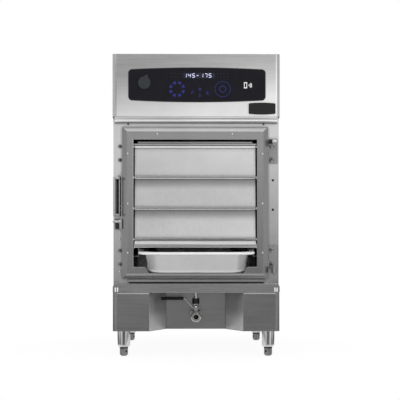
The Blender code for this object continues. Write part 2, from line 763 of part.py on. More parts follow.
def make_body(steel, dark_steel, wool):
    """Outer shell, rear panel, front bezel, liner and the insulation between them."""
    half = BODY_WIDTH / 2
    bottom = BASE_TOP + GAP
    shell = rectangle(-half, half, bottom, BODY_TOP)
    hollow = rectangle(-half + SHEET, half - SHEET, bottom, BODY_TOP - SHEET)
    outline = [shell[0], shell[3], shell[2], shell[1], hollow[1], hollow[2], hollow[3], hollow[0]]
    add_node("outer_shell", prism(outline, "Y", LINER_FRONT, BACK), steel)
    side = half - SHEET - GAP
    ceiling = BODY_TOP - SHEET - GAP
    add_node("rear_panel", box((-side, BACK - SHEET, bottom), (side, BACK, ceiling)), steel)
    mouth = rectangle(-CAVITY_WIDTH / 2, CAVITY_WIDTH / 2, CAVITY_BOTTOM, CAVITY_TOP)
    bezel = add_node("front_bezel", hollow_prism(shell, mouth, "Y", BEZEL_Y, BEZEL_Y + SHEET), steel)
    sill_low = LEDGE_TOP + GAP
    sill = box((-SILL_WIDTH / 2, BEZEL_Y - SILL_THICKNESS, sill_low),
               (SILL_WIDTH / 2, BEZEL_Y + BITE, sill_low + SILL_HEIGHT))
    join(bezel, sill)

    low = Vector((-CAVITY_WIDTH / 2, LINER_FRONT, CAVITY_BOTTOM))
    high = Vector((CAVITY_WIDTH / 2, LINER_BACK, CAVITY_TOP))
    wall = Vector((SHEET, SHEET, SHEET))
    shape, hollow = open_box((low.x - SHEET, low.y, low.z - SHEET), high + wall, low, high, "front")
    liner = add_node("cavity_liner", shape, steel)
    cut(liner, hollow)
    vapour = box((-TANK_WIDTH / 2 + TANK_MARGIN, TANK_FRONT + TANK_MARGIN, low.z - SHEET - OVERRUN),
                 (TANK_WIDTH / 2 - TANK_MARGIN, TANK_BACK - TANK_MARGIN, low.z + OVERRUN))
    cut(liner, vapour)

    back = BACK - SHEET - GAP
    space_low = (low.x - SHEET - GAP, low.y, TANK_BOTTOM - GAP)
    space_high = (high.x + SHEET + GAP, back - INSULATION_REAR, high.z + SHEET + GAP)
    shape, hollow = open_box((-side, low.y, bottom), (side, back, ceiling), space_low, space_high, "front")
    insulation = add_node("insulation", shape, wool)
    cut(insulation, hollow)
    radius, centre = TUBE_RADIUS + TUBE_PLAY, (0, drain_y())
    cut(insulation, rod(radius, "Z", bottom - OVERRUN, TANK_BOTTOM + OVERRUN, centre))


def make_ledge(steel):
    """Drip trough in front of the body, open at its top."""
    half = LEDGE_WIDTH / 2
    low = BASE_TOP + GAP
    outline = rounded(-half, half, low - LEDGE_CORNER, LEDGE_TOP, LEDGE_CORNER)
    outline = [(-half, low)] + [point for point in outline if point[1] > low] + [(half, low)]
    outline = [outline[0]] + outline[1:-1][::-1] + [outline[-1]]
    front, back = FRONT - LEDGE_PROUD, BEZEL_Y - GAP
    ledge = add_node("drip_ledge", prism(outline, "Y", front, back), steel)
    cut(ledge, box((-half + LEDGE_END, front + LEDGE_WALL, low + LEDGE_WALL),
                   (half - LEDGE_END, back - LEDGE_WALL, LEDGE_TOP + OVERRUN)))


def make_heater(name, across, near, far, height, metal):
    """A tubular heater bent to a U that opens to the rear."""
    corners = [(-across, far, height), (-across, near, height), (across, near, height), (across, far, height)]
    tube = pipe(bent(corners, HEATER_BEND), HEATER_RADIUS, (0, 0, 1))
    add_node(name, tube, metal, smooth=True)


def make_tank(steel, dark_steel):
    """Water tank under the cavity, its heater, and the heater and probe in the air above."""
    half = TANK_WIDTH / 2
    shape, hollow = open_box((-half, TANK_FRONT, TANK_BOTTOM), (half, TANK_BACK, TANK_TOP),
                             (-half + SHEET, TANK_FRONT + SHEET, TANK_BOTTOM + SHEET),
                             (half - SHEET, TANK_BACK - SHEET, TANK_TOP), "top")
    tank = add_node("water_tank", shape, steel)
    cut(tank, hollow)
    across, height = WATER_HEATER_WIDTH / 2, TANK_BOTTOM + WATER_HEATER_HEIGHT
    near, tail = TANK_FRONT + WATER_HEATER_INSET, TANK_BACK + WATER_HEATER_TAIL
    make_heater("water_heater", across, near, tail, height, dark_steel)
    radius, start, end = HEATER_RADIUS + HEATER_PLAY, TANK_BACK - SHEET - OVERRUN, TANK_BACK + OVERRUN
    cut(tank, several([rod(radius, "Y", start, end, (side, height)) for side in (-across, across)]))
    low = TANK_BOTTOM
    cut(tank, rod(TUBE_BORE, "Z", low - OVERRUN, low + SHEET + OVERRUN, (0, drain_y())))

    wall = LINER_BACK - GAP
    make_heater("air_heater", AIR_HEATER_WIDTH / 2, wall - AIR_HEATER_LENGTH, wall,
                CAVITY_TOP - AIR_HEATER_DROP, dark_steel)
    place = (PROBE_SIDE, CAVITY_TOP - PROBE_DROP)
    probe = [(PROBE_RADIUS, wall - PROBE_LENGTH), (PROBE_RADIUS, wall - PROBE_COLLAR),
             (2 * PROBE_RADIUS, wall - PROBE_COLLAR), (2 * PROBE_RADIUS, wall)]
    add_node("air_probe", turned(probe, "Y", place), steel, smooth=True)


# Racks and pan, modelled level and then tilted with their frame


def make_rack(name, side, frame, steel):
    """One side of the bins: a plate with a runner for each bin and two flanges to the liner."""
    inner, liner = RACK_HALF, CAVITY_WIDTH / 2 - GAP
    outer = inner + SHEET
    low, high = RUNNER_Z - RACK_BELOW, RUNNER_Z + (BIN_COUNT - 1) * BIN_PITCH + RACK_ABOVE
    outline = [(liner, low), (liner, low + SHEET), (outer, low + SHEET), (outer, high - SHEET),
               (liner, high - SHEET), (liner, high), (inner, high)]
    for index in reversed(range(BIN_COUNT)):
        top = RUNNER_Z + index * BIN_PITCH
        tip = inner - RUNNER_WIDTH
        outline += [(inner, top), (tip, top), (tip, top - SHEET), (inner, top - SHEET)]
    outline.append((inner, low))
    outline = [(side * across, up) for across, up in outline]
    start = FRONT + RACK_FRONT
    add_node(name, prism(outline, "Y", start, start + RACK_LENGTH), steel, parent=frame)


def make_pan(frame, steel):
    """Deep-drawn pan with a flat rim and a rolled edge."""
    half_width, half_length = PAN_WIDTH / 2, PAN_LENGTH / 2
    middle = FRONT - PAN_OUT + half_length
    floor = RIM_TOP - PAN_DEPTH
    foot = PAN_RIM + PAN_DRAFT
    wall_corner, floor_corner = PAN_WALL_CORNER, PAN_WALL_CORNER - PAN_DRAFT
    flat_corner = floor_corner - PAN_FLOOR_RADIUS
    inner_corner = wall_corner - PAN_SHEET
    stations = [
        (foot + PAN_FLOOR_RADIUS, floor + PAN_SHEET, flat_corner),
        (foot + PAN_SHEET, floor + PAN_FLOOR_RADIUS, floor_corner - PAN_SHEET),
        (PAN_RIM + PAN_SHEET, RIM_TOP, inner_corner),
        (PAN_SHEET, RIM_TOP, PAN_RIM_CORNER - PAN_SHEET),
        (0, RIM_TOP - PAN_SHEET, PAN_RIM_CORNER),
        (0, RIM_TOP - PAN_ROLL_HEIGHT, PAN_RIM_CORNER),
        (PAN_ROLL_WIDTH, RIM_TOP - PAN_ROLL_HEIGHT, PAN_RIM_CORNER - PAN_ROLL_WIDTH),
        (PAN_ROLL_WIDTH, RIM_TOP - PAN_SHEET, PAN_RIM_CORNER - PAN_ROLL_WIDTH),
        (PAN_RIM, RIM_TOP - PAN_SHEET, wall_corner),
        (foot, floor + PAN_FLOOR_RADIUS, floor_corner),
        (foot + PAN_FLOOR_RADIUS, floor, flat_corner),
    ]
    loops = []
    for margin, height, corner in stations:
        outline = rounded(-half_width + margin, half_width - margin,
                          middle - half_length + margin, middle + half_length - margin, corner)
        loops.append(lay(outline, "Z", height))
    add_node("bin_pan", loft(loops), steel, origin=(0, FRONT - PAN_OUT, RIM_TOP), parent=frame, smooth=True)


# Control head


def make_head(steel, dark_steel):
    """Fascia, cover, rear plate and the slanted lip over the door."""
    left, right = front_rounded(HEAD_WIDTH, HEAD_CORNER, HEAD_Y, FASCIA_BACK)
    fascia = add_node("head_fascia", prism(left + right, "Z", FASCIA_BOTTOM, HEAD_TOP), steel, smooth=True)
    inner_left, inner_right = front_rounded(HEAD_WIDTH - 2 * SHEET, HEAD_CORNER - SHEET, HEAD_Y + SHEET,
                                            FASCIA_BACK + OVERRUN)
    cut(fascia, prism(inner_left + inner_right, "Z", FASCIA_BOTTOM - OVERRUN, HEAD_TOP - SHEET))
    cut(fascia, rod(PORT_RADIUS + GAP, "Y", HEAD_Y - OVERRUN, HEAD_Y + SHEET + OVERRUN, port_place()))

    half = HEAD_WIDTH / 2
    low = BODY_TOP + GAP
    outline = [(-half, low), (-half, HEAD_TOP), (half, HEAD_TOP), (half, low),
               (half - SHEET, low), (half - SHEET, HEAD_TOP - SHEET),
               (-half + SHEET, HEAD_TOP - SHEET), (-half + SHEET, low)]
    add_node("head_cover", prism(outline, "Y", FASCIA_BACK + GAP, BACK), steel)

    side = half - SHEET - GAP
    rear = add_node("head_rear", box((-side, BACK - SHEET, low), (side, BACK, HEAD_TOP - SHEET - GAP)), steel)
    cutters = [rod(INLET_RADIUS + GAP, "Y", BACK - SHEET - OVERRUN, BACK + OVERRUN, inlet_place())]
    for index in range(VENT_COUNT):
        top = HEAD_TOP - VENT_BELOW_TOP - index * VENT_PITCH
        cutters.append(box((-VENT_SIDE - VENT_WIDTH / 2, BACK - SHEET - OVERRUN, top - VENT_SLOT),
                           (-VENT_SIDE + VENT_WIDTH / 2, BACK + OVERRUN, top)))
    cut(rear, several(cutters))

    top = FASCIA_BOTTOM - GAP
    face = HEAD_Y + SHEET
    lip = [(face, top), (face + LIP_SLANT, low), (FASCIA_BACK, low), (FASCIA_BACK, top)]
    lip_side = half - HEAD_CORNER / 2
    piece = add_node("head_lip", prism(lip, "X", -lip_side, lip_side), steel)
    hollow = inset(lip, SHEET)
    hollow = [(hollow[0][0] - SHEET, top + OVERRUN), hollow[0], hollow[1], hollow[2],
              (hollow[2][0], top + OVERRUN)]
    cut(piece, prism(hollow, "X", -lip_side + SHEET, lip_side - SHEET))


def port_place():
    """Middle of the USB port on the panel."""
    return (-PORT_SIDE, PANEL_Z + PORT_ABOVE_MIDDLE)


def inlet_place():
    """Middle of the power inlet on the rear plate."""
    return (INLET_SIDE, BODY_TOP + INLET_ABOVE_DECK)


def make_controls(glass, window, black, steel, rubber):
    """Black control panel, its display window, the port and its cap, and the badge plate."""
    outline = shifted(bowed(PANEL_WIDTH, PANEL_HEIGHT, PANEL_BOW, PANEL_CORNER), PANEL_SHIFT, PANEL_Z)
    panel = add_node("control_panel", prism(outline, "Y", PANEL_FRONT, PANEL_BACK), glass)
    across, up = DISPLAY_SHIFT, PANEL_Z + DISPLAY_ABOVE_MIDDLE
    wide, high = DISPLAY_WIDTH / 2, DISPLAY_HEIGHT / 2
    pocket = box((across - wide - GAP, PANEL_FRONT - OVERRUN, up - high - GAP),
                 (across + wide + GAP, PANEL_FRONT + DISPLAY_DEPTH + GAP, up + high + GAP))
    cut(panel, pocket)
    add_node("display_window", box((across - wide, PANEL_FRONT, up - high),
                                   (across + wide, PANEL_FRONT + DISPLAY_DEPTH, up + high)), window)
    cut(panel, rod(PORT_RADIUS + GAP, "Y", PANEL_FRONT - OVERRUN, PANEL_BACK + OVERRUN, port_place()))
    across, up = port_place()
    body = rod(PORT_RADIUS, "Y", PANEL_FRONT, PANEL_FRONT + PORT_DEPTH, (across, up))
    socket = add_node("usb_socket", body, black)
    cut(socket, box((across - PORT_SLOT_WIDTH / 2, PANEL_FRONT - OVERRUN, up - PORT_SLOT_HEIGHT / 2),
                    (across + PORT_SLOT_WIDTH / 2, PANEL_FRONT + PORT_SLOT_DEPTH, up + PORT_SLOT_HEIGHT / 2)))
    back = PANEL_FRONT - GAP
    front = back - CAP_THICKNESS
    hinge = (across, back, up + CAP_RADIUS + CAP_TAB_HEIGHT)
    cap = turned([(CAP_RADIUS, back), (CAP_RADIUS, front + CAP_THICKNESS / 2),
                  (CAP_RADIUS - CAP_THICKNESS / 2, front)], "Y", (across, up))
    cap = add_node("usb_cap", cap, rubber, origin=hinge, smooth=True)
    across += CAP_TAB_SHIFT
    join(cap, box((across - CAP_TAB_WIDTH / 2, front + CAP_THICKNESS / 2, up + CAP_RADIUS - CAP_TAB_HEIGHT),
                  (across + CAP_TAB_WIDTH / 2, back, hinge[2])))
    outline = shifted(bowed(BADGE_WIDTH, BADGE_HEIGHT, BADGE_BOW, BADGE_CORNER), BADGE_SIDE,
                      HEAD_TOP - BADGE_BELOW_TOP)
    add_node("badge_plate", prism(outline, "Y", HEAD_Y - GAP - BADGE_THICKNESS, HEAD_Y - GAP), black)


def make_electrics(board_green, black, aluminium):
    """What the head holds: control board, power supply and the power inlet."""
    inside = HEAD_Y + SHEET + GAP
    face = inside + BOARD_STANDOFF
    half = BOARD_WIDTH / 2
    low, high = PANEL_Z - BOARD_HEIGHT / 2, PANEL_Z + BOARD_HEIGHT / 2
    plate = box((-half, face, low), (half, face + BOARD_THICKNESS, high))
    board = add_node("control_board", plate, board_green)
    posts = []
    for across in (-half + STANDOFF_INSET, half - STANDOFF_INSET):
        for up in (low + STANDOFF_INSET, high - STANDOFF_INSET):
            posts.append(rod(STANDOFF_RADIUS, "Y", inside, face + BITE, (across, up)))
    for across in (-half / 2, half / 2):
        back = face + BOARD_THICKNESS
        posts.append(box((across - RELAY_WIDTH / 2, back - BITE, PANEL_Z - RELAY_HEIGHT / 2),
                         (across + RELAY_WIDTH / 2, back + RELAY_THICKNESS, PANEL_Z + RELAY_HEIGHT / 2)))
    join(board, several(posts))

    low = BODY_TOP + GAP
    left, right = -SUPPLY_SIDE - SUPPLY_WIDTH / 2, -SUPPLY_SIDE + SUPPLY_WIDTH / 2
    top = low + SUPPLY_HEIGHT
    outline = [(left, low), (right, low), (right, top)]
    fin = SUPPLY_WIDTH / (2 * SUPPLY_FIN_COUNT - 1)
    for index in range(SUPPLY_FIN_COUNT - 1):
        edge = right - (2 * index + 1) * fin
        outline += [(edge, top), (edge, top - SUPPLY_FIN_HEIGHT), (edge - fin, top - SUPPLY_FIN_HEIGHT),
                    (edge - fin, top)]
    outline.append((left, top))
    start = FRONT + SUPPLY_SETBACK
    add_node("power_supply", prism(outline, "Y", start, start + SUPPLY_LENGTH), aluminium)

    plate = BACK + GAP
    mouth = BACK + INLET_PROUD
    inlet = [(INLET_MOUTH, mouth - INLET_MOUTH_DEPTH), (INLET_MOUTH, mouth), (INLET_RADIUS, mouth),
             (INLET_RADIUS, plate + INLET_FLANGE_THICKNESS), (INLET_FLANGE, plate + INLET_FLANGE_THICKNESS),
             (INLET_FLANGE, plate), (INLET_RADIUS, plate), (INLET_RADIUS, BACK - INLET_INSIDE)]
    add_node("power_inlet", turned(inlet, "Y", inlet_place()), black, smooth=True)


# Door


def make_door(hinge, steel, rubber):
    """Bevelled frame with its relief, the strip over the first flap, the rods and the seal."""
    outer = rectangle(DOOR_LEFT, DOOR_RIGHT, DOOR_BOTTOM, DOOR_TOP)
    face = inset(outer, DOOR_BEVEL_WIDTH)
    mouth = rectangle(OPENING_LEFT, OPENING_RIGHT, OPENING_BOTTOM, OPENING_TOP)
    loops = [lay(outer, "Y", DOOR_BACK), lay(outer, "Y", FRONT + DOOR_BEVEL_DEPTH), lay(face, "Y", FRONT),
             lay(mouth, "Y", FRONT), lay(mouth, "Y", DOOR_BACK)]
    frame = add_node("door_frame", loft(loops, True), steel, origin=HINGE_POINT, parent=hinge)
    half, low = RELIEF_WIDTH / 2, OPENING_BOTTOM - RELIEF_DEPTH
    relief = [(-half + RELIEF_SLANT, low), (half - RELIEF_SLANT, low), (half, OPENING_BOTTOM),
              (half, OPENING_BOTTOM + OVERRUN), (-half, OPENING_BOTTOM + OVERRUN), (-half, OPENING_BOTTOM)]
    cut(frame, prism(relief, "Y", FRONT - OVERRUN, DOOR_BACK + OVERRUN))
    seat = ROD_SEAT + GAP
    spans = ((OPENING_LEFT - seat, OPENING_LEFT + OVERRUN), (OPENING_RIGHT - OVERRUN, OPENING_RIGHT + seat))
    holes = []
    for index in range(BIN_COUNT):
        for near, far in spans:
            holes.append(rod(ROD_RADIUS + GAP, "X", near, far, (FLAP_AXIS_Y, flap_axis_z(index))))
    cut(frame, several(holes))
    top = OPENING_TOP - STRIP_BELOW_RAIL
    join(frame, box((OPENING_LEFT - BITE, FRONT + STRIP_DEPTH, top - STRIP_HEIGHT),
                    (OPENING_RIGHT + BITE, FRONT + STRIP_DEPTH + STRIP_THICKNESS, top)))
    for index in range(BIN_COUNT):
        bar = rod(ROD_RADIUS, "X", OPENING_LEFT - ROD_SEAT, OPENING_RIGHT + ROD_SEAT,
                  (FLAP_AXIS_Y, flap_axis_z(index)))
        add_node(f"flap_rod_{index + 1}", bar, steel, origin=HINGE_POINT, parent=hinge, smooth=True)
    outside = inset(outer, SEAL_INSET)
    half = CAVITY_WIDTH / 2 + SEAL_MARGIN
    inside = rectangle(-half, half, CAVITY_BOTTOM - SEAL_MARGIN, CAVITY_TOP + SEAL_MARGIN)
    seal = hollow_prism(outside, inside, "Y", DOOR_BACK + GAP, BEZEL_Y - GAP)
    add_node("door_seal", seal, rubber, origin=HINGE_POINT, parent=hinge)


def make_flap(index, hinge, steel):
    """One flap: its top curls round its rod, and its lower lip stands out for the fingers."""
    height = flap_axis_z(index)
    last = index == BIN_COUNT - 1
    drop = height - OPENING_BOTTOM - FLAP_OVERLAP if last else BIN_PITCH + FLAP_OVERLAP
    radius = ROD_RADIUS + ROD_PLAY + FLAP_SHEET / 2
    curl = arc((0, 0), radius, math.tau - FLAP_CURL_OPEN, 0, 2 * CORNER_STEPS)
    bend = FLAP_LIP_HEIGHT - drop
    path = curl + [(-FLAP_LEAN, bend), (-FLAP_LEAN - FLAP_LIP_REACH, -drop)]
    half = (OPENING_RIGHT - OPENING_LEFT) / 2 - FLAP_SIDE_GAP
    middle = (OPENING_RIGHT + OPENING_LEFT) / 2
    outline = shifted(ribbon(path, FLAP_SHEET), FLAP_AXIS_Y, height)
    origin = (middle, FLAP_AXIS_Y, height)
    flap = add_node(f"flap_{index + 1}", prism(outline, "X", middle - half, middle + half), steel,
                    origin=origin, parent=hinge, smooth=True)
    slope = (-FLAP_LEAN - radius) / bend
    face = [(radius + slope * up, up) for up in (-FLAP_RETURN_CLEAR, FLAP_RETURN_CLEAR - drop)]
    side = shifted(face + shifted(face[::-1], FLAP_RETURN_DEPTH, 0), FLAP_AXIS_Y, height)
    left = prism(side, "X", middle - half + BITE / 2, middle - half + BITE / 2 + FLAP_SHEET)
    right = prism(side, "X", middle + half - BITE / 2 - FLAP_SHEET, middle + half - BITE / 2)
    join(flap, several([left, right]))
    if last:
        flap.rotation_euler.x = -FLAP_LIFT


def make_bracket(name, low, high, lug_low, top_bolt, steel):
    """A plate on the body with two bolt heads and the lug that holds the hinge pin."""
    left = HINGE_PLATE_SIDE - HINGE_PLATE_WIDTH / 2
    back = BEZEL_Y - GAP
    face = back - HINGE_PLATE_THICKNESS
    plate = box((left, face, low), (left + HINGE_PLATE_WIDTH, back, high))
    bracket = add_node(f"hinge_bracket_{name}", plate, steel)
    near, far = HINGE_SIDE - LUG_RADIUS, HINGE_SIDE + LUG_RADIUS
    if lug_low < low:
        join(bracket, box((near - BITE, face + BITE / 2, lug_low + BITE),
                          (far + BITE, back - BITE / 2, low + BITE)))
    nose = arc((HINGE_SIDE, FRONT), LUG_RADIUS, 0, -math.pi, 2 * CORNER_STEPS)
    lug = [(near, face + BITE), (far, face + BITE)] + nose
    join(bracket, prism(lug, "Z", lug_low, lug_low + LUG_HEIGHT))
    cut(bracket, rod(PIN_RADIUS + PIN_PLAY, "Z", lug_low - OVERRUN, lug_low + LUG_HEIGHT + OVERRUN,
                     (HINGE_SIDE, FRONT)))
    heads = []
    for up in (top_bolt, top_bolt - BOLT_SPACING):
        points = circle((left + BOLT_SIDE_INSET, up), BOLT_RADIUS, BOLT_SIDES)
        heads.append(prism(points, "Y", face - BOLT_HEAD, face + BITE))
    join(bracket, several(heads))


def make_arm(name, arm_low, flange_low, pin, hinge, steel):
    """An arm on the door's edge, with the pin that stands in its bracket's lug."""
    near = DOOR_RIGHT + GAP
    front, back = FRONT + DOOR_BEVEL_DEPTH, DOOR_BACK - ARM_FLANGE_THICKNESS
    tip = arc((HINGE_SIDE, FRONT), LUG_RADIUS, math.pi / 3, -2 * math.pi / 3, 2 * CORNER_STEPS)
    outline = [(near, front), (near, back)] + tip
    arm = add_node(f"hinge_arm_{name}", prism(outline, "Z", arm_low, arm_low + ARM_HEIGHT), steel,
                   origin=HINGE_POINT, parent=hinge)
    join(arm, box((near, front + BITE, flange_low),
                  (near + ARM_FLANGE_THICKNESS, back - BITE, flange_low + ARM_FLANGE_HEIGHT)))
    join(arm, rod(PIN_RADIUS, "Z", pin[0], pin[1], (HINGE_SIDE, FRONT)))


def make_hinges(hinge, steel):
    """The upper hinge's arm runs under its lug and the lower hinge's arm over it."""
    high = DOOR_TOP - HINGE_UPPER_TOP
    lug_low = high - UPPER_LUG_INSET - LUG_HEIGHT
    make_bracket("upper", high - HINGE_UPPER_HEIGHT, high, lug_low, high - UPPER_BOLT_INSET, steel)
    arm_high = lug_low - ARM_PLAY
    arm_low = arm_high - ARM_HEIGHT
    make_arm("upper", arm_low, arm_high - BITE - ARM_FLANGE_HEIGHT, (arm_high - BITE, lug_low + LUG_HEIGHT),
             hinge, steel)
    low = DOOR_BOTTOM + HINGE_LOWER_BOTTOM
    high = low + HINGE_LOWER_HEIGHT
    lug_low = low - LOWER_LUG_DROP
    make_bracket("lower", low, high, lug_low, high - LOWER_BOLT_INSET, steel)
    arm_low = lug_low + LUG_HEIGHT + ARM_PLAY
    make_arm("lower", arm_low, arm_low + BITE, (lug_low, arm_low + BITE), hinge, steel)


def make_latch(hinge, steel, black):
    """Latch body on the door's edge, the sprung C-shaped pull, and the strike on the body."""
    low = DOOR_BOTTOM + LATCH_ABOVE_DOOR_BOTTOM
    high = low + LATCH_HEIGHT
    near = DOOR_LEFT - GAP
    plate_side = near - LATCH_PLATE
    front, back = FRONT + DOOR_BEVEL_DEPTH, DOOR_BACK - GAP
    body = add_node("latch_body", box((plate_side, front, low), (near, back, high)), black,
                    origin=HINGE_POINT, parent=hinge)
    axis = (DOOR_LEFT - LATCH_AXIS_OUT, FRONT + LATCH_AXIS_DEPTH)
    magnet_low = low + MAGNET_ABOVE
    magnet_top = magnet_low + MAGNET_HEIGHT
    lower_lug = magnet_top + LOWER_LUG_GAP
    upper_lug = high - UPPER_LUG_GAP - LATCH_LUG
    for lug_low in (lower_lug, upper_lug):
        lug = box((axis[0] - LATCH_LUG_RADIUS, axis[1] - LATCH_LUG_RADIUS, lug_low),
                  (plate_side + BITE, axis[1] + LATCH_LUG_RADIUS, lug_low + LATCH_LUG))
        join(body, lug)
        bore = LATCH_ROD_RADIUS + LATCH_PLAY
        cut(body, rod(bore, "Z", lug_low - OVERRUN, lug_low + LATCH_LUG + OVERRUN, axis))
    join(body, box((near - MAGNET_REACH, FRONT + MAGNET_FRONT, magnet_low),
                   (plate_side + BITE, back - BITE, magnet_top)))
    tab = low + TAB_ABOVE
    join(body, box((near - TAB_REACH, FRONT + MAGNET_FRONT + TAB_INSET, tab),
                   (plate_side + BITE / 2, back - TAB_INSET, tab + TAB_HEIGHT)))

    pull_low, pull_high = lower_lug + LATCH_LUG + LATCH_SPARE, upper_lug - LATCH_SPARE
    bar = rod(LATCH_ROD_RADIUS, "Z", lower_lug, upper_lug + LATCH_LUG, axis)
    pull = add_node("latch_pull", bar, steel, origin=(axis[0], axis[1], 0), parent=hinge, smooth=True)
    left = axis[0] - PULL_REACH
    face = FRONT - PULL_PROUD
    bar = rounded(left, left + PULL_WIDTH, face, face + PULL_DEPTH, PULL_WIDTH / 3)
    join(pull, prism(bar, "Z", pull_low, pull_high))
    arms = []
    for arm_low in (pull_low + BITE, pull_high - BITE - PULL_ARM):
        arms.append(box((left + PULL_WIDTH / 2, face + BITE, arm_low),
                        (axis[0], axis[1] + LATCH_ROD_RADIUS / 2, arm_low + PULL_ARM)))
    join(pull, several(arms))

    strike_back = BEZEL_Y - GAP
    strike = box((near - MAGNET_REACH - STRIKE_MARGIN, strike_back - STRIKE_THICKNESS,
                  magnet_low - STRIKE_MARGIN),
                 (near - GAP, strike_back, magnet_top + STRIKE_MARGIN))
    add_node("latch_strike", strike, steel)


# Drain


def drain_y():
    """Depth of the drain tube's centre line."""
    return FRONT + VALVE_DEPTH + ELBOW_SETBACK


def globe(radius, along, height):
    """A ball on the valve's axis."""
    profile = []
    for step in range(1, BALL_RINGS):
        angle = math.pi * step / BALL_RINGS
        profile.append((radius * math.sin(angle), height - radius * math.cos(angle)))
    return turned(profile, "Z", (0, along), steps=BALL_STEPS)


def make_valve(brass, steel, black, hinge):
    """Ball valve with its outlet to the front, and the lever that turns its ball."""
    centre_y, centre_z = FRONT + VALVE_DEPTH, BASE_TOP - VALVE_DROP
    half = VALVE_LENGTH / 2
    shoulder = half - VALVE_END_LENGTH
    body = shoulder - VALVE_SHOULDER
    profile = [(VALVE_END_RADIUS, -half), (VALVE_END_RADIUS, -shoulder), (VALVE_RADIUS, -body),
               (VALVE_RADIUS, body), (VALVE_END_RADIUS, shoulder), (VALVE_END_RADIUS, half)]
    profile = [(radius, centre_y + along) for radius, along in profile]
    body = add_node("valve_body", turned(profile, "Y", (0, centre_z)), brass, smooth=True)
    pad_low = centre_z + VALVE_PAD_BOTTOM
    join(body, box((-VALVE_PAD_WIDTH / 2, centre_y - VALVE_PAD_DEPTH / 2, pad_low),
                   (VALVE_PAD_WIDTH / 2, centre_y + VALVE_PAD_DEPTH / 2, pad_low + VALVE_PAD_HEIGHT)))
    join(body, rod(NECK_RADIUS, "Z", pad_low + BITE, centre_z + NECK_TOP, (0, centre_y)))
    cut(body, rod(VALVE_BORE, "Y", centre_y - half - OVERRUN, centre_y + half + OVERRUN, (0, centre_z)))
    cut(body, rod(STEM_RADIUS + STEM_PLAY, "Z", centre_z, centre_z + NECK_TOP + OVERRUN, (0, centre_y)))
    cut(body, globe(BALL_RADIUS + BALL_PLAY, centre_y, centre_z))

    place = (0, centre_y, centre_z)
    ball = add_node("valve_ball", globe(BALL_RADIUS, centre_y, centre_z), steel, origin=place, parent=hinge,
                    smooth=True)
    cut(ball, rod(BALL_BORE, "X", -BALL_RADIUS - OVERRUN, BALL_RADIUS + OVERRUN, (centre_y, centre_z)))
    root = centre_z + (BALL_RADIUS + BALL_BORE) / 2
    join(ball, rod(STEM_RADIUS, "Z", root, centre_z + STEM_TOP, (0, centre_y)))

    hub = centre_z + LEVER_HEIGHT
    top = hub + LEVER_RISE
    path = [(LEVER_HUB, hub), (-LEVER_HUB, hub), (-LEVER_KNEE, top), (-LEVER_LENGTH, top)]
    strap = prism(ribbon(path, LEVER_THICKNESS), "Y", centre_y - LEVER_WIDTH / 2, centre_y + LEVER_WIDTH / 2)
    lever = add_node("valve_lever", strap, steel, origin=place, parent=hinge)
    cut(lever, rod(STEM_RADIUS + GAP, "Z", hub - OVERRUN, hub + OVERRUN, (0, centre_y)))
    sleeve = rounded(centre_y - SLEEVE_WIDTH / 2, centre_y + SLEEVE_WIDTH / 2, top - SLEEVE_HEIGHT / 2,
                     top + SLEEVE_HEIGHT / 2, SLEEVE_CORNER)
    end = -LEVER_LENGTH - GAP
    knee = -LEVER_KNEE - LEVER_THICKNESS
    grip = add_node("lever_sleeve", prism(sleeve, "X", end - SLEEVE_END, knee), black, origin=place,
                    parent=hinge, smooth=True)
    slot_y, slot_z = LEVER_WIDTH / 2 + GAP, LEVER_THICKNESS / 2 + GAP
    cut(grip, box((end, centre_y - slot_y, top - slot_z), (knee + OVERRUN, centre_y + slot_y, top + slot_z)))


def make_drain(brass, steel):
    """Tube from the tank, the hex nut under the deck, and the elbow to the valve."""
    across, along = 0, drain_y()
    nut_top = BASE_TOP - NUT_DROP
    nut_low = nut_top - NUT_HEIGHT
    seat = nut_top - NUT_LIP
    high, low = TANK_BOTTOM - GAP, seat + GAP
    tube = [(TUBE_BORE, high), (TUBE_RADIUS, high), (TUBE_RADIUS, low), (TUBE_BORE, low)]
    add_node("drain_tube", turned(tube, "Z", (across, along), ring=True), steel, smooth=True)
    hexagon = circle((across, along), NUT_FLAT / math.cos(math.pi / NUT_SIDES), NUT_SIDES)
    sides = list(zip(hexagon, hexagon[1:] + hexagon[:1]))
    outer = []
    for start, end in sides:
        outer += [start, ((start[0] + end[0]) / 2, (start[1] + end[1]) / 2)]
    wide = circle((across, along), ELBOW_RADIUS - NUT_LIP / 4, 2 * NUT_SIDES)
    narrow = circle((across, along), TUBE_RADIUS + TUBE_PLAY, 2 * NUT_SIDES)
    rings = ((outer, nut_low), (outer, nut_top), (narrow, nut_top), (narrow, seat), (wide, seat),
             (wide, nut_low))
    loops = [lay(ring, "Z", height) for ring, height in rings]
    add_node("drain_nut", loft(loops, True), steel)
    height = BASE_TOP - VALVE_DROP
    inlet = FRONT + VALVE_DEPTH + VALVE_LENGTH / 2 + GAP
    corners = [(across, along, nut_low - GAP), (across, along, height), (across, inlet, height)]
    route = bent(corners, ELBOW_BEND)
    add_node("drain_elbow", pipe(route, ELBOW_RADIUS, (1, 0, 0), ELBOW_BORE, ROUND_STEPS), brass, smooth=True)


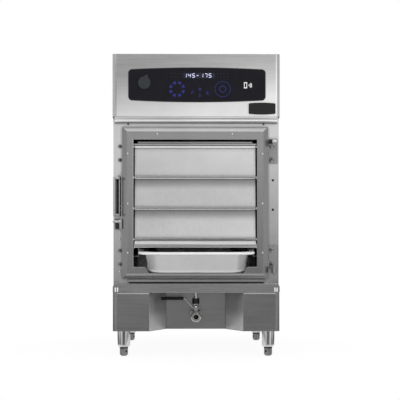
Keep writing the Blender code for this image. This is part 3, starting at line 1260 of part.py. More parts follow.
def main():
    """Build the cabinet from the floor up."""
    for old in list(bpy.data.objects):
        bpy.data.objects.remove(old, do_unlink=True)
    steel = finish("brushed stainless steel", "B4B4B6", 0.32, 1.0)
    dark_steel = finish("plain steel", "8E8F92", 0.42, 1.0)
    wool = finish("mineral wool", "C9BC8E", 0.95)
    rubber = finish("black silicone rubber", "2A2C2E", 0.65)
    glass = finish("black panel glass", "17171A", 0.22)
    window = finish("display window", "0C0D12", 0.12)
    black = finish("black plastic", "1E1F22", 0.42)
    green = finish("circuit board", "1F5A34", 0.55)
    aluminium = finish("cast aluminium", "A9ABAE", 0.45, 1.0)
    brass = finish("nickel-plated brass", "A6A29A", 0.30, 1.0)

    make_base(steel, dark_steel)
    make_feet(steel, dark_steel)
    make_body(steel, dark_steel, wool)
    make_ledge(steel)
    make_tank(steel, dark_steel)
    slope = add_joint("rack_slope", (0, FRONT, RUNNER_Z), RACK_SLOPE)
    make_rack("rack_left", -1, slope, steel)
    make_rack("rack_right", 1, slope, steel)
    make_pan(slope, steel)
    make_head(steel, dark_steel)
    make_controls(glass, window, black, steel, rubber)
    make_electrics(green, black, aluminium)
    hinge = add_joint("door_hinge_axis", HINGE_POINT)
    make_door(hinge, steel, rubber)
    for index in range(BIN_COUNT):
        make_flap(index, hinge, steel)
    make_hinges(hinge, steel)
    make_latch(hinge, steel, black)
    stem = add_joint("valve_stem_axis", (0, FRONT + VALVE_DEPTH, BASE_TOP - VALVE_DROP))
    make_valve(brass, steel, black, stem)
    make_drain(brass, steel)


main()
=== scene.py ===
"""Looks of the holding bin cabinet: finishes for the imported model, and the small pieces that it leaves out.

Laid out as an add-on: a panel in the 3D view's sidebar lists one operator for each piece or
group of pieces, and main() runs them in order. Metres throughout, the front faces -Y.
"""

import math

import bmesh
import bpy
from mathutils import Matrix, Vector


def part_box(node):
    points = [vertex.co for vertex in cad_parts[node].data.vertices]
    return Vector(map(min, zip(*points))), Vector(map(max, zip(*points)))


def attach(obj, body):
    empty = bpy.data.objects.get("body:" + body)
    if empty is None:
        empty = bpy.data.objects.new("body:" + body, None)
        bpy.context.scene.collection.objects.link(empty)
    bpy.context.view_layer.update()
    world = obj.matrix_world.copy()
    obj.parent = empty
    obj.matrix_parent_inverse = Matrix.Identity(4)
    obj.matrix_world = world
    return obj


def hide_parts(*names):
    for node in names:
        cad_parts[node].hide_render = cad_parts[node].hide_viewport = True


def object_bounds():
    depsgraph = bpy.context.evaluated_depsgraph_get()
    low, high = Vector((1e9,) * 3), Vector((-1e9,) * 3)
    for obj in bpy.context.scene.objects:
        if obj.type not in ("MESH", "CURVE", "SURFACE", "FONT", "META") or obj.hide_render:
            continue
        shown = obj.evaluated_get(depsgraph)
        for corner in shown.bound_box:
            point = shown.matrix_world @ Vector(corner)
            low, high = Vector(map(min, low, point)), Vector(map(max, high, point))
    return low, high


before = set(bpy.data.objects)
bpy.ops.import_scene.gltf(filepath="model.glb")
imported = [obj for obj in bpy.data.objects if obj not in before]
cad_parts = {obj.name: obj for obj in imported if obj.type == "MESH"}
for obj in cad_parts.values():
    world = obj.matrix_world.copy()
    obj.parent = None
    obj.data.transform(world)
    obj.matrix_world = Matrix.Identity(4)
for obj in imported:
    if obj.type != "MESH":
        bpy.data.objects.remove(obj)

bl_info = {
    "name": "Holding bin cabinet looks",
    "version": (1, 0, 0),
    "blender": (4, 5, 0),
    "location": "View3D > Sidebar > Cabinet",
    "description": "Finishes, fasteners, display and studio for a stainless holding bin cabinet",
    "category": "Object",
}

CAD_LOW, CAD_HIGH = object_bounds()
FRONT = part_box("door_frame")[0].y
SMOOTH_ANGLE = math.radians(32)
SHEET_EDGE = 0.0008           # radius that deburring leaves on cut sheet
DOME_RADIUS = 4.5             # studio surroundings
STUDIO_STRENGTH = 1.25        # light of the surroundings, so that their stops may go above 1
HINGE_PLATE = 0.0025          # thickness of the hinge plates
BEZEL_SHEET = 0.0015

# Turns that take a shape built standing on its own +Z to the side that it faces
FACING = {
    "up": Matrix.Identity(4),
    "front": Matrix.Rotation(math.pi / 2, 4, "X"),
    "rear": Matrix.Rotation(math.pi, 4, "Z") @ Matrix.Rotation(math.pi / 2, 4, "X"),
    "left": Matrix.Rotation(-math.pi / 2, 4, "Z") @ Matrix.Rotation(math.pi / 2, 4, "X"),
    "right": Matrix.Rotation(math.pi / 2, 4, "Z") @ Matrix.Rotation(math.pi / 2, 4, "X"),
}

# Bars of a seven-segment numeral: (middle across, middle up, lies flat) as shares of its width and height
SEGMENT_SHARES = {
    "a": (0.0, 0.5, True), "b": (0.5, 0.25, False), "c": (0.5, -0.25, False), "d": (0.0, -0.5, True),
    "e": (-0.5, -0.25, False), "f": (-0.5, 0.25, False), "g": (0.0, 0.0, True),
}
LIT_SEGMENTS = {"1": "bc", "4": "bcfg", "5": "acdfg", "7": "abc", "-": "g"}
SHOWN_NUMBERS = "145-175"

# Degrees that each levelling foot has been screwed round, front left, front right, rear left, rear right
HOLE_TURNS = (38, -36, 60, -60)


# Colours


def linear(code):
    """Scene-linear RGBA of an sRGB hex colour."""
    channels = [int(code[start:start + 2], 16) / 255 for start in (0, 2, 4)]
    return tuple(c / 12.92 if c <= 0.04045 else ((c + 0.055) / 1.055) ** 2.4 for c in channels) + (1.0,)


def scaled(colour, share):
    """A lighter or darker version of a linear colour."""
    return tuple(min(channel * share, 1.0) for channel in colour[:3]) + (1.0,)


# Shader building


def add_node(tree, kind, settings=(), values=(), links=()):
    """Add one node with its settings, the values of its sockets and the outputs that feed it."""
    node = tree.nodes.new(kind)
    for key, value in dict(settings).items():
        setattr(node, key, value)
    for key, value in dict(values).items():
        node.inputs[key].default_value = value
    for key, source in dict(links).items():
        tree.links.new(source, node.inputs[key])
    return node


def new_material(name, values):
    """A material with the values of its Principled shader; returns the material, its tree and the shader."""
    material = bpy.data.materials.new(name)
    material.use_nodes = True
    tree = material.node_tree
    shader = tree.nodes["Principled BSDF"]
    for key, value in values.items():
        shader.inputs[key].default_value = value
    material.diffuse_color = values["Base Color"]
    return material, tree, shader


def new_metal(name, colour, roughness, metallic=1.0):
    """A bare metal. With metallic below 1 it also scatters the lamps' light like a matt skin: oxide on the
    heater sheath, painted light on the lighter flap, pan rim and recess liners.
    """
    return new_material(name, {"Base Color": colour, "Metallic": metallic, "Roughness": roughness})


def grain(tree, sizes, detail=2.0):
    """Noise whose patches have the given sizes in metres along x, y and z."""
    place = add_node(tree, "ShaderNodeTexCoord")
    spread_out = add_node(tree, "ShaderNodeMapping", values={"Scale": [1 / size for size in sizes]},
                          links={"Vector": place.outputs["Object"]})
    noise = add_node(tree, "ShaderNodeTexNoise", values={"Scale": 1.0, "Detail": detail, "Roughness": 0.55},
                     links={"Vector": spread_out.outputs["Vector"]})
    return noise.outputs["Fac"]


def between(tree, source, low, high):
    """Values between low and high where the noise has its usual span."""
    steps = {"From Min": 0.3, "From Max": 0.7, "To Min": low, "To Max": high}
    return add_node(tree, "ShaderNodeMapRange", values=steps, links={"Value": source}).outputs["Result"]


def mixed(tree, source, dark, light):
    """Colours between two, by a noise."""
    share = between(tree, source, 0.0, 1.0)
    mix = add_node(tree, "ShaderNodeMix", settings={"data_type": "RGBA"}, values={6: dark, 7: light},
                   links={0: share})
    return mix.outputs[2]


def multiplied(tree, first, second):
    """Two colours multiplied."""
    mix = add_node(tree, "ShaderNodeMix", settings={"data_type": "RGBA", "blend_type": "MULTIPLY"},
                   values={0: 1.0}, links={6: first, 7: second})
    return mix.outputs[2]


def mottled(tree, shader, source, colour, dark, light):
    """Give a shader its colour, between a darker and a lighter share of it by a noise."""
    tone = mixed(tree, source, scaled(colour, dark), scaled(colour, light))
    tree.links.new(tone, shader.inputs["Base Color"])


def roughened(tree, shader, source, low, high):
    """Give a shader its roughness, between two values by a noise."""
    tree.links.new(between(tree, source, low, high), shader.inputs["Roughness"])


def raised(tree, shader, height, depth, strength, edge=0.0):
    """Surface relief from a noise, depth in metres, over sheet edges rounded by a radius."""
    links = {"Height": height}
    if edge:
        worn = add_node(tree, "ShaderNodeBevel", settings={"samples": 4}, values={"Radius": edge})
        links["Normal"] = worn.outputs["Normal"]
    bump = add_node(tree, "ShaderNodeBump", values={"Strength": strength, "Distance": depth}, links=links)
    tree.links.new(bump.outputs["Normal"], shader.inputs["Normal"])


def shaded(tree, source, reach, darkest):
    """A colour darkened in corners narrower than the reach, by ambient occlusion: painted shade."""
    corner = add_node(tree, "ShaderNodeAmbientOcclusion", settings={"samples": 8}, values={"Distance": reach})
    steps = {"From Min": 0.45, "From Max": 0.98, "To Min": darkest, "To Max": 1.0}
    share = add_node(tree, "ShaderNodeMapRange", values=steps, links={"Value": corner.outputs["AO"]})
    return multiplied(tree, source, share.outputs["Result"])


def filmed(material, top, pitch, begins, ends, darkest):
    """Dull a finish under lips that come every pitch from a height down.

    This paints the shade under each lip. It is darkest where it begins and gone where it ends, both
    measured down from the lip.
    """
    tree = material.node_tree
    shader = tree.nodes["Principled BSDF"]
    place = add_node(tree, "ShaderNodeTexCoord")
    parts = add_node(tree, "ShaderNodeSeparateXYZ", links={0: place.outputs["Object"]})
    below = add_node(tree, "ShaderNodeMath", settings={"operation": "SUBTRACT"}, values={0: top},
                     links={1: parts.outputs["Z"]})
    drop = add_node(tree, "ShaderNodeMath", settings={"operation": "FLOORED_MODULO"}, values={1: pitch},
                    links={0: below.outputs[0]})
    steps = {"From Min": begins, "From Max": ends, "To Min": darkest, "To Max": 1.0}
    share = add_node(tree, "ShaderNodeMapRange", settings={"interpolation_type": "SMOOTHSTEP"}, values=steps,
                     links={"Value": drop.outputs[0]})
    bare = shader.inputs["Base Color"].links[0].from_socket
    tree.links.new(multiplied(tree, bare, share.outputs["Result"]), shader.inputs["Base Color"])


# Finishes


def brushed_stainless(name, colour, roughness, along, streak, relief, corner=(0.010, 0.55), metallic=1.0):
    """Type 304 sheet with a number 4 belt finish.

    The belt leaves short parallel scratches about 0.1 mm apart and 30 to 80 mm long. Finer than a
    pixel here, so the visible streaks are drawn 1.6 mm apart over a finer relief. They spread
    reflections across the grain and leave a soft streaky sheen, with faint wipe marks.
    """
    material, tree, shader = new_metal(name, colour, roughness, metallic)
    axis = "XYZ".index(along)
    fine = [0.0005] * 3
    fine[axis] = 0.045
    streaks = [0.0016] * 3
    streaks[axis] = 0.140
    scratches = grain(tree, fine, 3.0)
    bands = grain(tree, streaks)
    wiped = grain(tree, (0.12, 0.12, 0.09), 4.0)
    streaky = mixed(tree, bands, scaled(colour, 1 - streak), scaled(colour, 1 + streak * 0.8))
    hazy = mixed(tree, wiped, linear("f3f3f3"), linear("ffffff"))
    # The corner pair darkens the steel in its corners: painted shade.
    tree.links.new(shaded(tree, multiplied(tree, streaky, hazy), *corner), shader.inputs["Base Color"])
    roughened(tree, shader, bands, roughness * 0.88, roughness * 1.14)
    raised(tree, shader, scratches, 0.00008, relief, SHEET_EDGE)
    return material


def mill_stainless(name, colour, roughness, metallic=1.0):
    """Type 304 sheet in its 2B mill finish.

    Rolled and pickled, never brushed: an even silvery satin with faint cloudy patches a few
    centimetres across and a very fine orange-peel grain.
    """
    material, tree, shader = new_metal(name, colour, roughness, metallic)
    clouds = grain(tree, (0.05, 0.05, 0.05), 4.0)
    peel = grain(tree, (0.0012, 0.0012, 0.0012))
    mottled(tree, shader, clouds, colour, 0.92, 1.03)
    roughened(tree, shader, clouds, roughness * 0.85, roughness * 1.2)
    raised(tree, shader, peel, 0.00005, 0.12)
    return material


def drawn_stainless(name, colour, roughness, metallic=1.0):
    """Deep-drawn pan steel.

    The press stretches the sheet down the walls, which leaves fine upright draw lines under a
    bright satin, with broad faint scuffs where pans are stacked.
    """
    material, tree, shader = new_metal(name, colour, roughness, metallic)
    lines = grain(tree, (0.003, 0.003, 0.06), 3.0)
    scuffs = grain(tree, (0.080, 0.080, 0.030), 1.0)
    hazy = mixed(tree, scuffs, linear("f6f6f6"), linear("ffffff"))
    drawn = mixed(tree, lines, scaled(colour, 0.97), scaled(colour, 1.02))
    tree.links.new(multiplied(tree, drawn, hazy), shader.inputs["Base Color"])
    roughened(tree, shader, scuffs, roughness * 0.93, roughness * 1.07)
    raised(tree, shader, lines, 0.00006, 0.03)
    return material


def polished_stainless(name, colour, roughness):
    """Machined and tumbled stainless of fasteners, rods and small tubes.

    Nearly a mirror, with short turned marks 0.3 mm apart that break up the highlights.
    """
    material, tree, shader = new_metal(name, colour, roughness)
    marks = grain(tree, (0.004, 0.004, 0.0006), 3.0)
    smears = grain(tree, (0.02, 0.02, 0.02), 3.0)
    mottled(tree, shader, smears, colour, 0.93, 1.04)
    roughened(tree, shader, smears, roughness * 0.75, roughness * 1.35)
    raised(tree, shader, marks, 0.00004, 0.12)
    return material


def drawn_tube(name, colour, roughness):
    """Stainless tube or bar, drawn through a die and buffed along its length.

    The die leaves streaks that run the whole length, about 6 mm apart, and a bright skin.
    """
    material, tree, shader = new_metal(name, colour, roughness)
    streaks = grain(tree, (0.0060, 0.0060, 0.6), 1.0)
    smears = grain(tree, (0.01, 0.01, 0.02), 3.0)
    mottled(tree, shader, streaks, colour, 0.72, 1.25)
    roughened(tree, shader, smears, roughness * 0.75, roughness * 1.35)
    raised(tree, shader, smears, 0.0002, 0.04)
    return material


def nickel_plated_brass(name, colour):
    """Forged brass under a thin nickel plate.

    Slightly warm and bright, with the soft pitting of the forging under the plate.
    """
    material, tree, shader = new_metal(name, colour, 0.2)
    pits = grain(tree, (0.0022, 0.0022, 0.0022), 3.0)
    worn = grain(tree, (0.008, 0.008, 0.008), 4.0)
    patchy = mixed(tree, worn, scaled(colour, 0.55), scaled(colour, 1.2))
    # Darker in the brass's corners by ambient occlusion: painted shade.
    tree.links.new(shaded(tree, patchy, 0.006, 0.35), shader.inputs["Base Color"])
    roughened(tree, shader, worn, 0.08, 0.20)
    raised(tree, shader, pits, 0.0004, 0.35, 0.0008)
    return material


def heater_sheath(name, colour):
    """Nickel-iron heater tube, oxidised by its own heat.

    Dark bronze grey and dull, blotched where the oxide is thicker.
    """
    material, tree, shader = new_metal(name, colour, 0.45, 0.8)
    oxide = grain(tree, (0.015, 0.015, 0.015), 4.0)
    mottled(tree, shader, oxide, colour, 0.7, 1.3)
    roughened(tree, shader, oxide, 0.35, 0.6)
    return material


def cast_aluminium(name, colour):
    """Sand-textured die-cast housing, dull silver with a grit of about 1 mm."""
    material, tree, shader = new_metal(name, colour, 0.45)
    grit = grain(tree, (0.001, 0.001, 0.001), 3.0)
    mottled(tree, shader, grit, colour, 0.88, 1.05)
    raised(tree, shader, grit, 0.0002, 0.4)
    return material


def printed_polyester(name, colour):
    """Reverse-printed polyester overlay of a touch panel.

    Near black and even, with a fine velvet texture of about 0.2 mm that keeps reflections soft.
    It is drawn at 0.8 mm, the finest that shows here.
    """
    values = {"Base Color": colour, "Roughness": 0.5, "Specular IOR Level": 0.08, "IOR": 1.5}
    material, tree, shader = new_material(name, values)
    velvet = grain(tree, (0.0008, 0.0008, 0.0008))
    touched = grain(tree, (0.018, 0.018, 0.018), 3.0)
    mottled(tree, shader, touched, colour, 0.9, 1.12)
    roughened(tree, shader, touched, 0.36, 0.5)
    raised(tree, shader, velvet, 0.00003, 0.15)
    return material


def smoked_acrylic(name, colour):
    """Smoked acrylic over the display: glossy, dark blue-grey, with faint polishing swirls."""
    values = {"Base Color": colour, "Roughness": 0.12, "IOR": 1.49, "Specular IOR Level": 0.3}
    material, tree, shader = new_material(name, values)
    swirls = grain(tree, (0.004, 0.004, 0.0015), 3.0)
    mottled(tree, shader, swirls, colour, 0.85, 1.15)
    roughened(tree, shader, swirls, 0.08, 0.16)
    return material


def lit_segment(name, colour, strength):
    """Light-guide plastic in front of a lamp: glows almost evenly, with a speckle about 1 mm across."""
    material, tree, shader = new_material(name, {"Base Color": scaled(colour, 0.2), "Roughness": 0.4,
                                                 "Emission Color": colour, "Emission Strength": strength})
    speckle = grain(tree, (0.0012, 0.0012, 0.0012))
    tree.links.new(mixed(tree, speckle, scaled(colour, 0.82), colour), shader.inputs["Emission Color"])
    return material


def screen_ink(name, colour, glow=0.0):
    """Screen-printed ink: matt, and slightly uneven where the mesh held it back."""
    material, tree, shader = new_material(name, {"Base Color": colour, "Roughness": 0.55,
                                                 "Emission Color": colour, "Emission Strength": glow})
    weave = grain(tree, (0.0006, 0.0006, 0.0006))
    mottled(tree, shader, weave, colour, 0.82, 1.08)
    return material


def silicone_rubber(name, colour):
    """Moulded silicone: soft satin, with dust and a fine mould grain of about 0.7 mm."""
    values = {"Base Color": colour, "Roughness": 0.55, "Specular IOR Level": 0.35}
    material, tree, shader = new_material(name, values)
    mould = grain(tree, (0.0007, 0.0007, 0.0007))
    dust = grain(tree, (0.006, 0.006, 0.006), 5.0)
    mottled(tree, shader, dust, colour, 0.8, 1.3)
    roughened(tree, shader, dust, 0.48, 0.66)
    raised(tree, shader, mould, 0.00008, 0.25)
    return material


def dipped_vinyl(name, colour):
    """Vinyl grip dipped on while liquid: glossy and slightly wavy, darker where it is thick."""
    values = {"Base Color": colour, "Roughness": 0.35, "Specular IOR Level": 0.2}
    material, tree, shader = new_material(name, values)
    waves = grain(tree, (0.006, 0.003, 0.003))
    mottled(tree, shader, waves, colour, 0.7, 1.2)
    roughened(tree, shader, waves, 0.24, 0.38)
    raised(tree, shader, waves, 0.0003, 0.2)
    return material


def moulded_nylon(name, colour):
    """Nylon or ABS from a spark-textured mould, grit about 0.4 mm, drawn at 0.6 mm so that it shows."""
    values = {"Base Color": colour, "Roughness": 0.45, "Specular IOR Level": 0.4}
    material, tree, shader = new_material(name, values)
    spark = grain(tree, (0.0006, 0.0006, 0.0006))
    flow = grain(tree, (0.02, 0.02, 0.01), 3.0)
    mottled(tree, shader, flow, colour, 0.85, 1.2)
    roughened(tree, shader, spark, 0.4, 0.55)
    raised(tree, shader, spark, 0.00008, 0.3)
    return material


def solder_mask(name, colour):
    """Glass-fibre board under green solder mask, with fine paler tracks showing through."""
    values = {"Base Color": colour, "Roughness": 0.3, "Specular IOR Level": 0.5}
    material, tree, shader = new_material(name, values)
    place = add_node(tree, "ShaderNodeTexCoord")
    cells = add_node(tree, "ShaderNodeMapping", values={"Scale": (1 / 0.006, 1 / 0.006, 1 / 0.0025)},
                     links={"Vector": place.outputs["Object"]})
    tracks = add_node(tree, "ShaderNodeTexBrick", values={
        "Color1": scaled(colour, 0.8), "Color2": colour, "Mortar": scaled(colour, 1.8),
        "Scale": 1.0, "Mortar Size": 0.02}, links={"Vector": cells.outputs["Vector"]})
    tree.links.new(tracks.outputs["Color"], shader.inputs["Base Color"])
    return material


def mineral_wool(name, colour):
    """Resin-bonded mineral wool: matt straw colour, felted from fibres in loose tufts about 10 mm across."""
    values = {"Base Color": colour, "Roughness": 0.95, "Specular IOR Level": 0.1, "Sheen Weight": 0.15}
    material, tree, shader = new_material(name, values)
    fibres = grain(tree, (0.004, 0.004, 0.0006), 5.0)
    tufts = grain(tree, (0.012, 0.012, 0.008), 4.0)
    felted = mixed(tree, fibres, scaled(colour, 0.75), scaled(colour, 1.15))
    loose = mixed(tree, tufts, linear("dcd6c4"), linear("ffffff"))
    tree.links.new(multiplied(tree, felted, loose), shader.inputs["Base Color"])
    raised(tree, shader, fibres, 0.0008, 0.6)
    return material


def pale_floor(name, colour):
    """Matt studio floor. Part of its white is shown straight to the eye, and the rest keeps the shadow."""
    material, tree, shader = new_material(name, {"Base Color": colour, "Roughness": 0.9,
                                                 "Specular IOR Level": 0.0})
    rays = add_node(tree, "ShaderNodeLightPath")
    seen = rays.outputs["Is Camera Ray"]
    for kind in ("Is Glossy Ray", "Is Transmission Ray"):
        seen = add_node(tree, "ShaderNodeMath", settings={"operation": "MAXIMUM"},
                        links={0: seen, 1: rays.outputs[kind]}).outputs[0]
    share = add_node(tree, "ShaderNodeMath", settings={"operation": "MULTIPLY"}, values={1: 0.94},
                     links={0: seen})
    glow = add_node(tree, "ShaderNodeEmission", values={"Color": (1.0, 1.0, 1.0, 1.0), "Strength": 1.0})
    both = add_node(tree, "ShaderNodeMixShader", links={0: share.outputs[0], 1: shader.outputs[0],
                                                        2: glow.outputs[0]})
    tree.links.new(both.outputs[0], tree.nodes["Material Output"].inputs["Surface"])
    return material


# Shapes


def gathered(shapes):
    """Shapes put together in one mesh."""
    whole = bmesh.new()
    for shape in shapes:
        passing = bpy.data.meshes.new("passing")
        shape.to_mesh(passing)
        shape.free()
        whole.from_mesh(passing)
        bpy.data.meshes.remove(passing)
    return whole


def placed(shape, place, facing):
    """A shape turned to face one side and moved to its place."""
    shape.transform(Matrix.Translation(Vector(place)) @ FACING[facing])
    return shape


def spun(profile, place, facing="front", steps=24):
    """A round shape from (radius, height) points that start and end on its axis."""
    shape = bmesh.new()
    points = [shape.verts.new((radius, 0, height)) for radius, height in profile]
    edges = [shape.edges.new(pair) for pair in zip(points, points[1:])]
    bmesh.ops.spin(shape, geom=points + edges, cent=(0, 0, 0), axis=(0, 0, 1), angle=math.tau,
                   steps=steps, use_merge=True)
    bmesh.ops.remove_doubles(shape, verts=shape.verts, dist=1e-6)
    bmesh.ops.dissolve_degenerate(shape, edges=shape.edges, dist=1e-6)
    bmesh.ops.recalc_face_normals(shape, faces=shape.faces)
    return placed(shape, place, facing)


def ring(inner, outer, low, high, place, facing="front", steps=32):
    """A flat ring with square edges."""
    return hoop(((inner, low), (outer, low), (outer, high), (inner, high)), place, facing, steps)


def hoop(profile, place, facing="front", steps=32):
    """A ring turned from a closed profile of (radius, height) points."""
    shape = bmesh.new()
    points = [shape.verts.new((radius, 0, height)) for radius, height in profile]
    edges = [shape.edges.new(pair) for pair in zip(points, points[1:] + points[:1])]
    bmesh.ops.spin(shape, geom=points + edges, cent=(0, 0, 0), axis=(0, 0, 1), angle=math.tau,
                   steps=steps, use_merge=True)
    bmesh.ops.remove_doubles(shape, verts=shape.verts, dist=1e-6)
    bmesh.ops.recalc_face_normals(shape, faces=shape.faces)
    return placed(shape, place, facing)


def sector(inner, outer, start, end, thickness, place, steps=8):
    """A flat slice of a ring between two angles, facing the front."""
    shape = bmesh.new()
    direction = Vector((math.cos(start), math.sin(start), 0))
    points = [shape.verts.new(direction * inner), shape.verts.new(direction * outer)]
    edge = shape.edges.new(points)
    bmesh.ops.spin(shape, geom=points + [edge], cent=(0, 0, 0), axis=(0, 0, 1), angle=end - start,
                   steps=steps)
    bmesh.ops.recalc_face_normals(shape, faces=shape.faces)
    if shape.faces[:][0].normal.z > 0:
        bmesh.ops.reverse_faces(shape, faces=shape.faces)
    made = bmesh.ops.extrude_face_region(shape, geom=shape.faces[:])
    top = [item for item in made["geom"] if isinstance(item, bmesh.types.BMVert)]
    bmesh.ops.translate(shape, verts=top, vec=(0, 0, thickness))
    bmesh.ops.recalc_face_normals(shape, faces=shape.faces)
    return placed(shape, place, "front")


def plate(low, high, corner, ease):
    """A block between two corners. Its edges from front to back are rounded, then all its rims are eased."""
    low, high = Vector(low), Vector(high)
    shape = bmesh.new()
    bmesh.ops.create_cube(shape, size=1.0)
    size = high - low
    bmesh.ops.scale(shape, vec=size, verts=shape.verts)
    bmesh.ops.translate(shape, vec=(low + high) / 2, verts=shape.verts)
    if corner:
        through = [edge for edge in shape.edges
                   if abs(edge.verts[0].co.y - edge.verts[1].co.y) > size.y / 2]
        bmesh.ops.bevel(shape, geom=through, offset=corner, offset_type="OFFSET", segments=4, profile=0.5,
                        affect="EDGES", clamp_overlap=True, material=-1)
    if ease:
        rims = [edge for edge in shape.edges if edge.calc_face_angle(0.0) > math.radians(60)]
        bmesh.ops.bevel(shape, geom=rims, offset=ease, offset_type="OFFSET", segments=2, profile=0.5,
                        affect="EDGES", clamp_overlap=True, material=-1)
    return shape


def bowed_rim(width, height, bow, corner, border, thickness, place):
    """The border of a plate with round corners and bowed long edges, facing the front."""
    shape = bmesh.new()
    bmesh.ops.create_grid(shape, x_segments=1, y_segments=1, size=0.5)
    bmesh.ops.scale(shape, vec=(width, height, 1), verts=shape.verts)
    bmesh.ops.bevel(shape, geom=shape.verts[:], offset=corner, offset_type="OFFSET", segments=5, profile=0.5,
                    affect="VERTICES", clamp_overlap=True, material=-1)
    straight = [edge for edge in shape.edges if edge.calc_length() > width / 2]
    bmesh.ops.subdivide_edges(shape, edges=straight, cuts=31)
    for vertex in shape.verts:
        share = 1 - (2 * vertex.co.x / width) ** 2
        vertex.co.y += math.copysign(bow, vertex.co.y) * share
    made = bmesh.ops.inset_region(shape, faces=shape.faces[:], thickness=border, use_boundary=True,
                                  use_even_offset=True)
    rim = set(made["faces"])
    bmesh.ops.delete(shape, geom=[face for face in shape.faces if face not in rim], context="FACES")
    made = bmesh.ops.extrude_face_region(shape, geom=shape.faces[:])
    top = [item for item in made["geom"] if isinstance(item, bmesh.types.BMVert)]
    bmesh.ops.translate(shape, verts=top, vec=(0, 0, thickness))
    bmesh.ops.recalc_face_normals(shape, faces=shape.faces)
    return placed(shape, place, "front")


def lofted(stations, hollow):
    """A closed skin through rounded rectangles of (width, length, corner, height).

    A hollow one joins its last rectangle to its first.
    """
    shape = bmesh.new()
    width, length, corner, height = stations[0]
    bmesh.ops.create_grid(shape, x_segments=1, y_segments=1, size=0.5)
    bmesh.ops.scale(shape, vec=(width, length, 1), verts=shape.verts)
    bmesh.ops.bevel(shape, geom=shape.verts[:], offset=corner, offset_type="OFFSET", segments=9, profile=0.5,
                    affect="VERTICES", clamp_overlap=True, material=-1)
    bmesh.ops.translate(shape, verts=shape.verts, vec=(0, 0, height))
    bmesh.ops.delete(shape, geom=shape.faces[:], context="FACES_ONLY")
    loop = first = shape.edges[:]
    for wide, long, turn, up in stations[1:] + (stations[:1] if hollow else []):
        made = bmesh.ops.extrude_edge_only(shape, edges=loop)
        moved = [item for item in made["geom"] if isinstance(item, bmesh.types.BMVert)]
        for vertex in moved:
            side_x, side_y = math.copysign(1, vertex.co.x), math.copysign(1, vertex.co.y)
            middle = Vector((side_x * (width / 2 - corner), side_y * (length / 2 - corner)))
            toward = (vertex.co.xy - middle) / corner
            vertex.co = (side_x * (wide / 2 - turn) + toward.x * turn,
                         side_y * (long / 2 - turn) + toward.y * turn, up)
        fresh = set(moved)
        loop = [item for item in made["geom"] if isinstance(item, bmesh.types.BMEdge)
                and item.verts[0] in fresh and item.verts[1] in fresh]
        width, length, corner = wide, long, turn
    if hollow:
        bmesh.ops.remove_doubles(shape, verts=shape.verts, dist=1e-6)
    else:
        for end in (first, loop):
            bmesh.ops.contextual_create(shape, geom=end)
    bmesh.ops.recalc_face_normals(shape, faces=shape.faces)
    return shape


def side_plate(side, inner, outer, low, high, corner, ease):
    """A block on the left (-1) or right (1), between two distances from the middle and two (y, z) corners."""
    left, right = sorted((side * inner, side * outer))
    return plate((left, *low), (right, *high), corner, ease)


def seam(start, end, width=0.0007):
    """A fine line, such as a ground-down weld, between two (across, up) points of the door's face."""
    proud = 0.00015
    start, end = Vector((start[0], start[1])), Vector((end[0], end[1]))
    run = end - start
    shape = bmesh.new()
    bmesh.ops.create_cube(shape, size=1.0)
    bmesh.ops.scale(shape, vec=(run.length, 2 * proud, width), verts=shape.verts)
    bmesh.ops.rotate(shape, cent=(0, 0, 0), matrix=Matrix.Rotation(-math.atan2(run.y, run.x), 3, "Y"),
                     verts=shape.verts)
    middle = (start + end) / 2
    bmesh.ops.translate(shape, vec=(middle.x, FRONT, middle.y), verts=shape.verts)
    return shape


def floor_round(inset, depth, fillet, corner):
    """Stations of (inset, depth, corner) up the round between a pan's floor and its wall."""
    turns = [math.pi / 2 * step / 6 for step in range(7)]
    return [(inset + fillet * (1 - math.sin(turn)), depth - fillet * (1 - math.cos(turn)),
             corner + fillet * math.sin(turn)) for turn in turns]


def rolled_edge(roll, reach, corner):
    """Stations of (inset, depth, corner) round a pan's rolled edge, from its top to its underside."""
    turns = [math.pi * (0.5 + step / 8) for step in range(9)]
    return [(roll + reach * math.cos(turn), roll - reach * math.sin(turn),
             corner - roll - reach * math.cos(turn)) for turn in turns]


def pan_screw(radius, height, place, facing="front"):
    """A pan-head screw with a round recess."""
    head = [(0, height * 0.62), (radius * 0.34, height * 0.7), (radius * 0.44, height),
            (radius * 0.7, height * 0.9), (radius * 0.95, height * 0.5), (radius, 0), (0, 0)]
    return spun(head, place, facing, 16)


def make_piece(name, shapes, body, material):
    """A piece from its shapes, with its finish, on the body that carries it."""
    shape = gathered(shapes)
    mesh = bpy.data.meshes.new(name)
    shape.to_mesh(mesh)
    shape.free()
    mesh.materials.append(material)
    mesh.shade_smooth()
    mesh.set_sharp_from_angle(angle=SMOOTH_ANGLE)
    piece = bpy.data.objects.new(name, mesh)
    bpy.context.scene.collection.objects.link(piece)
    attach(piece, body)
    return piece


def finish_nodes(material, *names):
    """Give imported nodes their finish."""
    for name in names:
        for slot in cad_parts[name].material_slots:
            slot.material = material


def found(name):
    """A material made by an earlier operator."""
    material = bpy.data.materials.get(name)
    if material is None:
        raise RuntimeError(f"the finish {name} isn't made yet")
    return material


def front_place(across, up, depth):
    """A point on the front, from a place across and up and a depth behind the door's face."""
    return Vector((across, FRONT + depth, up))


# Settings


